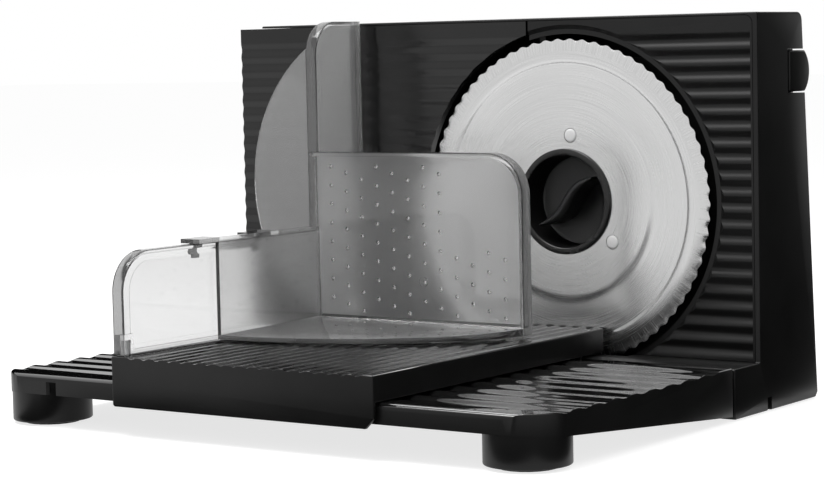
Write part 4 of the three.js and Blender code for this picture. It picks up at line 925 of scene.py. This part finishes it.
def clear_wall():
    body = soften(prism("x", wall_outline(0), WALL_OUT, WALL_IN, "clear_wall"), WALL_SOFT, 2)
    cut(body, prism("x", wall_outline(SHEET), WALL_OUT - OVER, WALL_IN - SHEET),
        prism("x", wall_outline(WALL_BORDER), WALL_IN - WALL_STEP, WALL_IN + OVER))
    inner = WALL_IN - GUARD_INSET
    disc = circle(GUARD_RADIUS, GUARD_X, GUARD_HEIGHT, 160)
    guard = soften(prism("y", disc, WALL_REAR - SHEET, WALL_REAR), GUARD_SOFT, 2)
    carve(guard, "INTERSECT", block(WALL_FRONT - 4 * OVER, inner, WALL_REAR - 3 * OVER, WALL_REAR + OVER,
                                    WALL_FOOT, WALL_TOP))
    bosses = [block(WALL_OUT, inner, y - WALL_BOSS, y + WALL_BOSS, WALL_FOOT, WALL_FOOT + WALL_BOSS_RISE)
              for y in WALL_SCREWS]
    join(body, guard, *bosses)
    # Its rounded edges and its rim carry painted shade
    return fit(body, "carriage", "clear_plastic", "carriage_wall",
               finishes=[LOOKS["clear_plastic"], SHADED_EDGE, SHADED_RIM], pick=wall_face)


# Pusher

def spike(x, z, points, faces):
    """Adds one blunt spike on the plate at (x, z)."""
    base, sides = len(points), SPIKE_SIDES
    ring = circle(SPIKE_RADIUS, x, z, sides)
    share = SPIKE_SHOULDER_SHARE
    points += [(u, PUSH_BACK - SPIKE_ROOT, v) for u, v in ring]
    points += [(x + share * (u - x), PUSH_BACK + SPIKE_SHOULDER, z + share * (v - z)) for u, v in ring]
    points.append((x, PUSH_BACK + SPIKE_HEIGHT, z))
    faces.append(list(range(base, base + sides)))
    for i in range(sides):
        j = (i + 1) % sides
        faces.append([base + i, base + j, base + sides + j, base + sides + i])
        faces.append([base + sides + i, base + sides + j, base + 2 * sides])


def spikes():
    """Columns of spikes, each a third of a pitch lower than the last; those on the right are short."""
    points, faces = [], []
    for column in range(SPIKE_COLUMNS):
        x = SPIKE_LEFT + SPIKE_PITCH * column
        z = PUSH_TOP - SPIKE_TOP_INSET - (column * SPIKE_PITCH / 3) % SPIKE_PITCH
        while z > PUSH_FOOT + SHEET + SPIKE_LOW_INSET:
            if column < SPIKE_TALL_COLUMNS or z <= SPIKE_LOW_TOP:
                spike(x, z, points, faces)
            z -= SPIKE_PITCH
    return make("tool", points, faces)


def pusher_floor(plate):
    """A quarter of an ellipse between wing and plate, thicker towards the plate."""
    right, back = PUSH_RIGHT - FLOOR_INSET, PUSH_BACK - PLATE_LAP
    plan = [(right, back), (PUSH_LEFT, back)]
    for i in range(FLOOR_STEPS + 1):
        turn = pi / 2 * i / FLOOR_STEPS
        plan.append((PUSH_LEFT + (right - PUSH_LEFT) * sin(turn), plate + (WING_FRONT - plate) * cos(turn)))
    slope = [(WING_FRONT - OVER, PUSH_FOOT), (back + OVER, PUSH_FOOT), (back + OVER, PUSH_FOOT + FLOOR_RISE),
             (WING_FRONT - OVER, PUSH_FOOT + SHEET)]
    floor = prism("z", plan, PUSH_FOOT - OVER, PUSH_FOOT + FLOOR_RISE + OVER)
    carve(floor, "INTERSECT", prism("x", slope, PUSH_LEFT - OVER, PUSH_RIGHT + OVER))
    return soften(floor, FLOOR_SOFT, 2, 50)


def pusher_fillets(plate):
    """Filled corners between plate and wing, and between plate and floor."""
    wing, level = PUSH_LEFT + SHEET, PUSH_FOOT + FLOOR_RISE
    behind = plate + FILLET_LAP
    upright = [(wing - FILLET_LAP, behind), (wing + FILLET, behind), (wing - FILLET_LAP, plate - FILLET)]
    lying = [(behind, level - FILLET_LAP), (plate - FILLET, level - FILLET_LAP), (behind, level + FILLET)]
    return [prism("z", upright, PUSH_FOOT + OVER, WING_TOP - OVER),
            prism("x", lying, PUSH_LEFT + OVER, PUSH_RIGHT - OVER)]


def pusher_hooks():
    """Two flat hooks over the wall's upper edge, each with a tongue down its outer side."""
    hooks = []
    outside, under = WALL_OUT - GAP - SHEET, WING_TOP - SHEET
    for front, rear in HOOKS:
        middle, half = (front + rear) / 2, HOOK_TONGUE / 2
        hooks.append(block(outside, PUSH_LEFT + SHEET, front, rear, under, WING_TOP))
        hooks.append(block(outside, outside + SHEET, middle - half, middle + half,
                           under - HOOK_DROP, WING_TOP))
    return hooks


def plate_outline(inset):
    right, top = PUSH_RIGHT - inset, PUSH_TOP - inset
    return rounded([(PUSH_LEFT, PUSH_FOOT, 0), (right, PUSH_FOOT, 0), (right, top, PUSH_ROUND - inset),
                    (PUSH_LEFT, top, 0)], 14)


def pusher():
    plate = PUSH_BACK - SHEET
    lip = plate - PUSH_LIP
    body = soften(prism("y", plate_outline(0), lip + SHEET, PUSH_BACK, "pusher_clear"), PUSH_SOFT, 2)
    cut(body, prism("y", plate_outline(SHEET), lip, plate))
    wing = block(PUSH_LEFT, PUSH_LEFT + SHEET, WING_FRONT, PUSH_BACK - PLATE_LAP, PUSH_FOOT, WING_TOP)
    floor = pusher_floor(plate)
    stud = prism("y", circle(STUD_RADIUS, STUD_X, STUD_HEIGHT, 32), plate - STUD_RISE, plate + PLATE_LAP)
    join(body, wing, floor, *pusher_fillets(plate), *pusher_hooks(), stud, spikes())
    # Its edges, tops, hooks and the plate's rim carry painted shade
    return fit(body, "pusher_slide_body", "clear_plastic", "pusher",
               finishes=[GLOSSY, FROSTED, SHADED_EDGE, SATIN, SHADED_RIM], pick=pusher_face)


casing()
panel()
stop_plate()
blade()
knob()
button()
dial()
tray()
carriage()
clear_wall()
pusher()

# The other solids keep their shape, with softened edges and a finish of their own
slots = {part["node"]: part["material_slot"] for part in frame["record"]["subparts"]}
for name, solid in frame["nodes"].items():
    if solid.hide_render:
        continue
    for spot in solid.material_slots:
        spot.material = LOOKS[slots[name]]
    edge = solid.modifiers.new("edge", "BEVEL")
    edge.width = SOLID_EDGE * MM
    edge.segments = 2
    edge.limit_method = "ANGLE"
    edge.angle_limit = radians(50)


# Stage, light and camera, in metres

def seen_by(tree):
    """1 for what the camera sees straight, in a reflection or through a clear piece, else 0."""
    path = tree.nodes.new("ShaderNodeLightPath")
    total = path.outputs["Is Camera Ray"]
    for name in ("Is Glossy Ray", "Is Transmission Ray"):
        more = tree.nodes.new("ShaderNodeMath")
        more.operation = "MAXIMUM"
        tree.links.new(total, more.inputs[0])
        tree.links.new(path.outputs[name], more.inputs[1])
        total = more.outputs[0]
    return total


def sheet(name, width, height):
    """A flat sheet about its own middle."""
    u, v = width / 2, height / 2
    mesh = bpy.data.meshes.new(name)
    mesh.from_pydata([(-u, -v, 0), (u, -v, 0), (u, v, 0), (-u, v, 0)], [], [[0, 1, 2, 3]])
    card = bpy.data.objects.new(name, mesh)
    bpy.context.scene.collection.objects.link(card)
    finish = bpy.data.materials.new(name)
    finish.use_nodes = True
    mesh.materials.append(finish)
    return card, finish.node_tree


def floor(size, grey, glow):
    """A pale floor that keeps the shadow, with a glow that only the eye sees."""
    plane, tree = sheet("floor", size, size)
    tree.nodes.clear()
    matt = tree.nodes.new("ShaderNodeBsdfDiffuse")
    matt.inputs["Color"].default_value = (grey, grey, grey, 1)
    shine = tree.nodes.new("ShaderNodeEmission")
    strength = tree.nodes.new("ShaderNodeMath")
    strength.operation = "MULTIPLY"
    strength.inputs[1].default_value = glow
    tree.links.new(seen_by(tree), strength.inputs[0])
    tree.links.new(strength.outputs[0], shine.inputs["Strength"])
    both = tree.nodes.new("ShaderNodeAddShader")
    tree.links.new(matt.outputs[0], both.inputs[0])
    tree.links.new(shine.outputs[0], both.inputs[1])
    out = tree.nodes.new("ShaderNodeOutputMaterial")
    tree.links.new(both.outputs[0], out.inputs["Surface"])


def flag(name, middle, width, height, normal):
    """A black card beside the set: it only shows in reflections, and keeps the dark sides dark."""
    card, tree = sheet(name, width, height)
    card.location = middle
    card.rotation_euler = Vector(normal).to_track_quat("Z", "Y").to_euler()
    black = tree.nodes["Principled BSDF"].inputs
    black["Base Color"].default_value = (0.004, 0.004, 0.004, 1)
    black["Specular IOR Level"].default_value = 0.0
    card.visible_camera = False
    card.visible_diffuse = False
    card.visible_shadow = False


def world(light, white):
    """White all round: its strength as light, and as what is seen."""
    sky = bpy.data.worlds.new("studio")
    bpy.context.scene.world = sky
    sky.use_nodes = True
    tree = sky.node_tree
    back = next(n for n in tree.nodes if n.type == "BACKGROUND")
    back.inputs["Color"].default_value = (1, 1, 1, 1)
    strength = tree.nodes.new("ShaderNodeMapRange")
    strength.inputs["To Min"].default_value = light
    strength.inputs["To Max"].default_value = white
    tree.links.new(seen_by(tree), strength.inputs["Value"])
    tree.links.new(strength.outputs["Result"], back.inputs["Strength"])


def lamp(name, spot, aim, width, height, power):
    data = bpy.data.lights.new(name, "AREA")
    data.shape = "RECTANGLE"
    data.size, data.size_y = width, height
    data.energy = power
    light = bpy.data.objects.new(name, data)
    light.location = spot
    light.rotation_euler = (Vector(aim) - Vector(spot)).to_track_quat("-Z", "Y").to_euler()
    bpy.context.scene.collection.objects.link(light)


def camera():
    """The viewpoint: measured from the blade's middle, then turned by heading, dip and roll."""
    heading, dip, roll = radians(CAMERA_HEADING), radians(CAMERA_DIP), radians(CAMERA_ROLL)
    right = Vector((cos(heading), sin(heading), 0))
    back = Vector((sin(heading) * cos(dip), -cos(heading) * cos(dip), sin(dip)))
    up = back.cross(right)
    across = right * cos(roll) + up * sin(roll)
    upright = up * cos(roll) - right * sin(roll)
    turn = Matrix((across, upright, back)).transposed().to_4x4()
    data = bpy.data.cameras.new("camera")
    data.sensor_width = SENSOR_WIDTH
    data.sensor_fit = "HORIZONTAL"
    data.lens = FOCAL_LENGTH / PICTURE_WIDTH * SENSOR_WIDTH
    eye = bpy.data.objects.new("camera", data)
    eye.matrix_world = Matrix.Translation(place(CAMERA_X, CAMERA_Y, CAMERA_RISE + AXIS_HEIGHT)) @ turn
    bpy.context.scene.collection.objects.link(eye)
    bpy.context.scene.camera = eye


floor(size=24.0, grey=0.4, glow=0.76)
world(light=0.55, white=1.0)
flag("right_flag", middle=(0.62, 0.85, 0.5), width=1.5, height=1.0, normal=(-1, -0.1, 0))
flag("right_floor_flag", middle=(0.735, 0.72, 0.002), width=1.13, height=2.05, normal=(0, 0, 1))
flag("front_floor_flag", middle=(0.2, -0.34, 0.002), width=0.5, height=0.4, normal=(0, 0, 1))
flag("left_flag", middle=(-1.2, 0.3, 0.3), width=1.6, height=0.6, normal=(1, 0, 0))
flag("post_flag", middle=(-0.095, -0.17, 0.002), width=0.13, height=0.07, normal=(0, 0, 1))
lamp("top_softbox", spot=(-0.25, -0.35, 1.25), aim=(0, 0, 0.1), width=0.9, height=0.7, power=16)
lamp("rear_strip", spot=(0.35, 0.9, 1.0), aim=(0, 0, 0.12), width=1.0, height=0.3, power=6)
camera()
bpy.context.scene.view_settings.view_transform = "Standard"
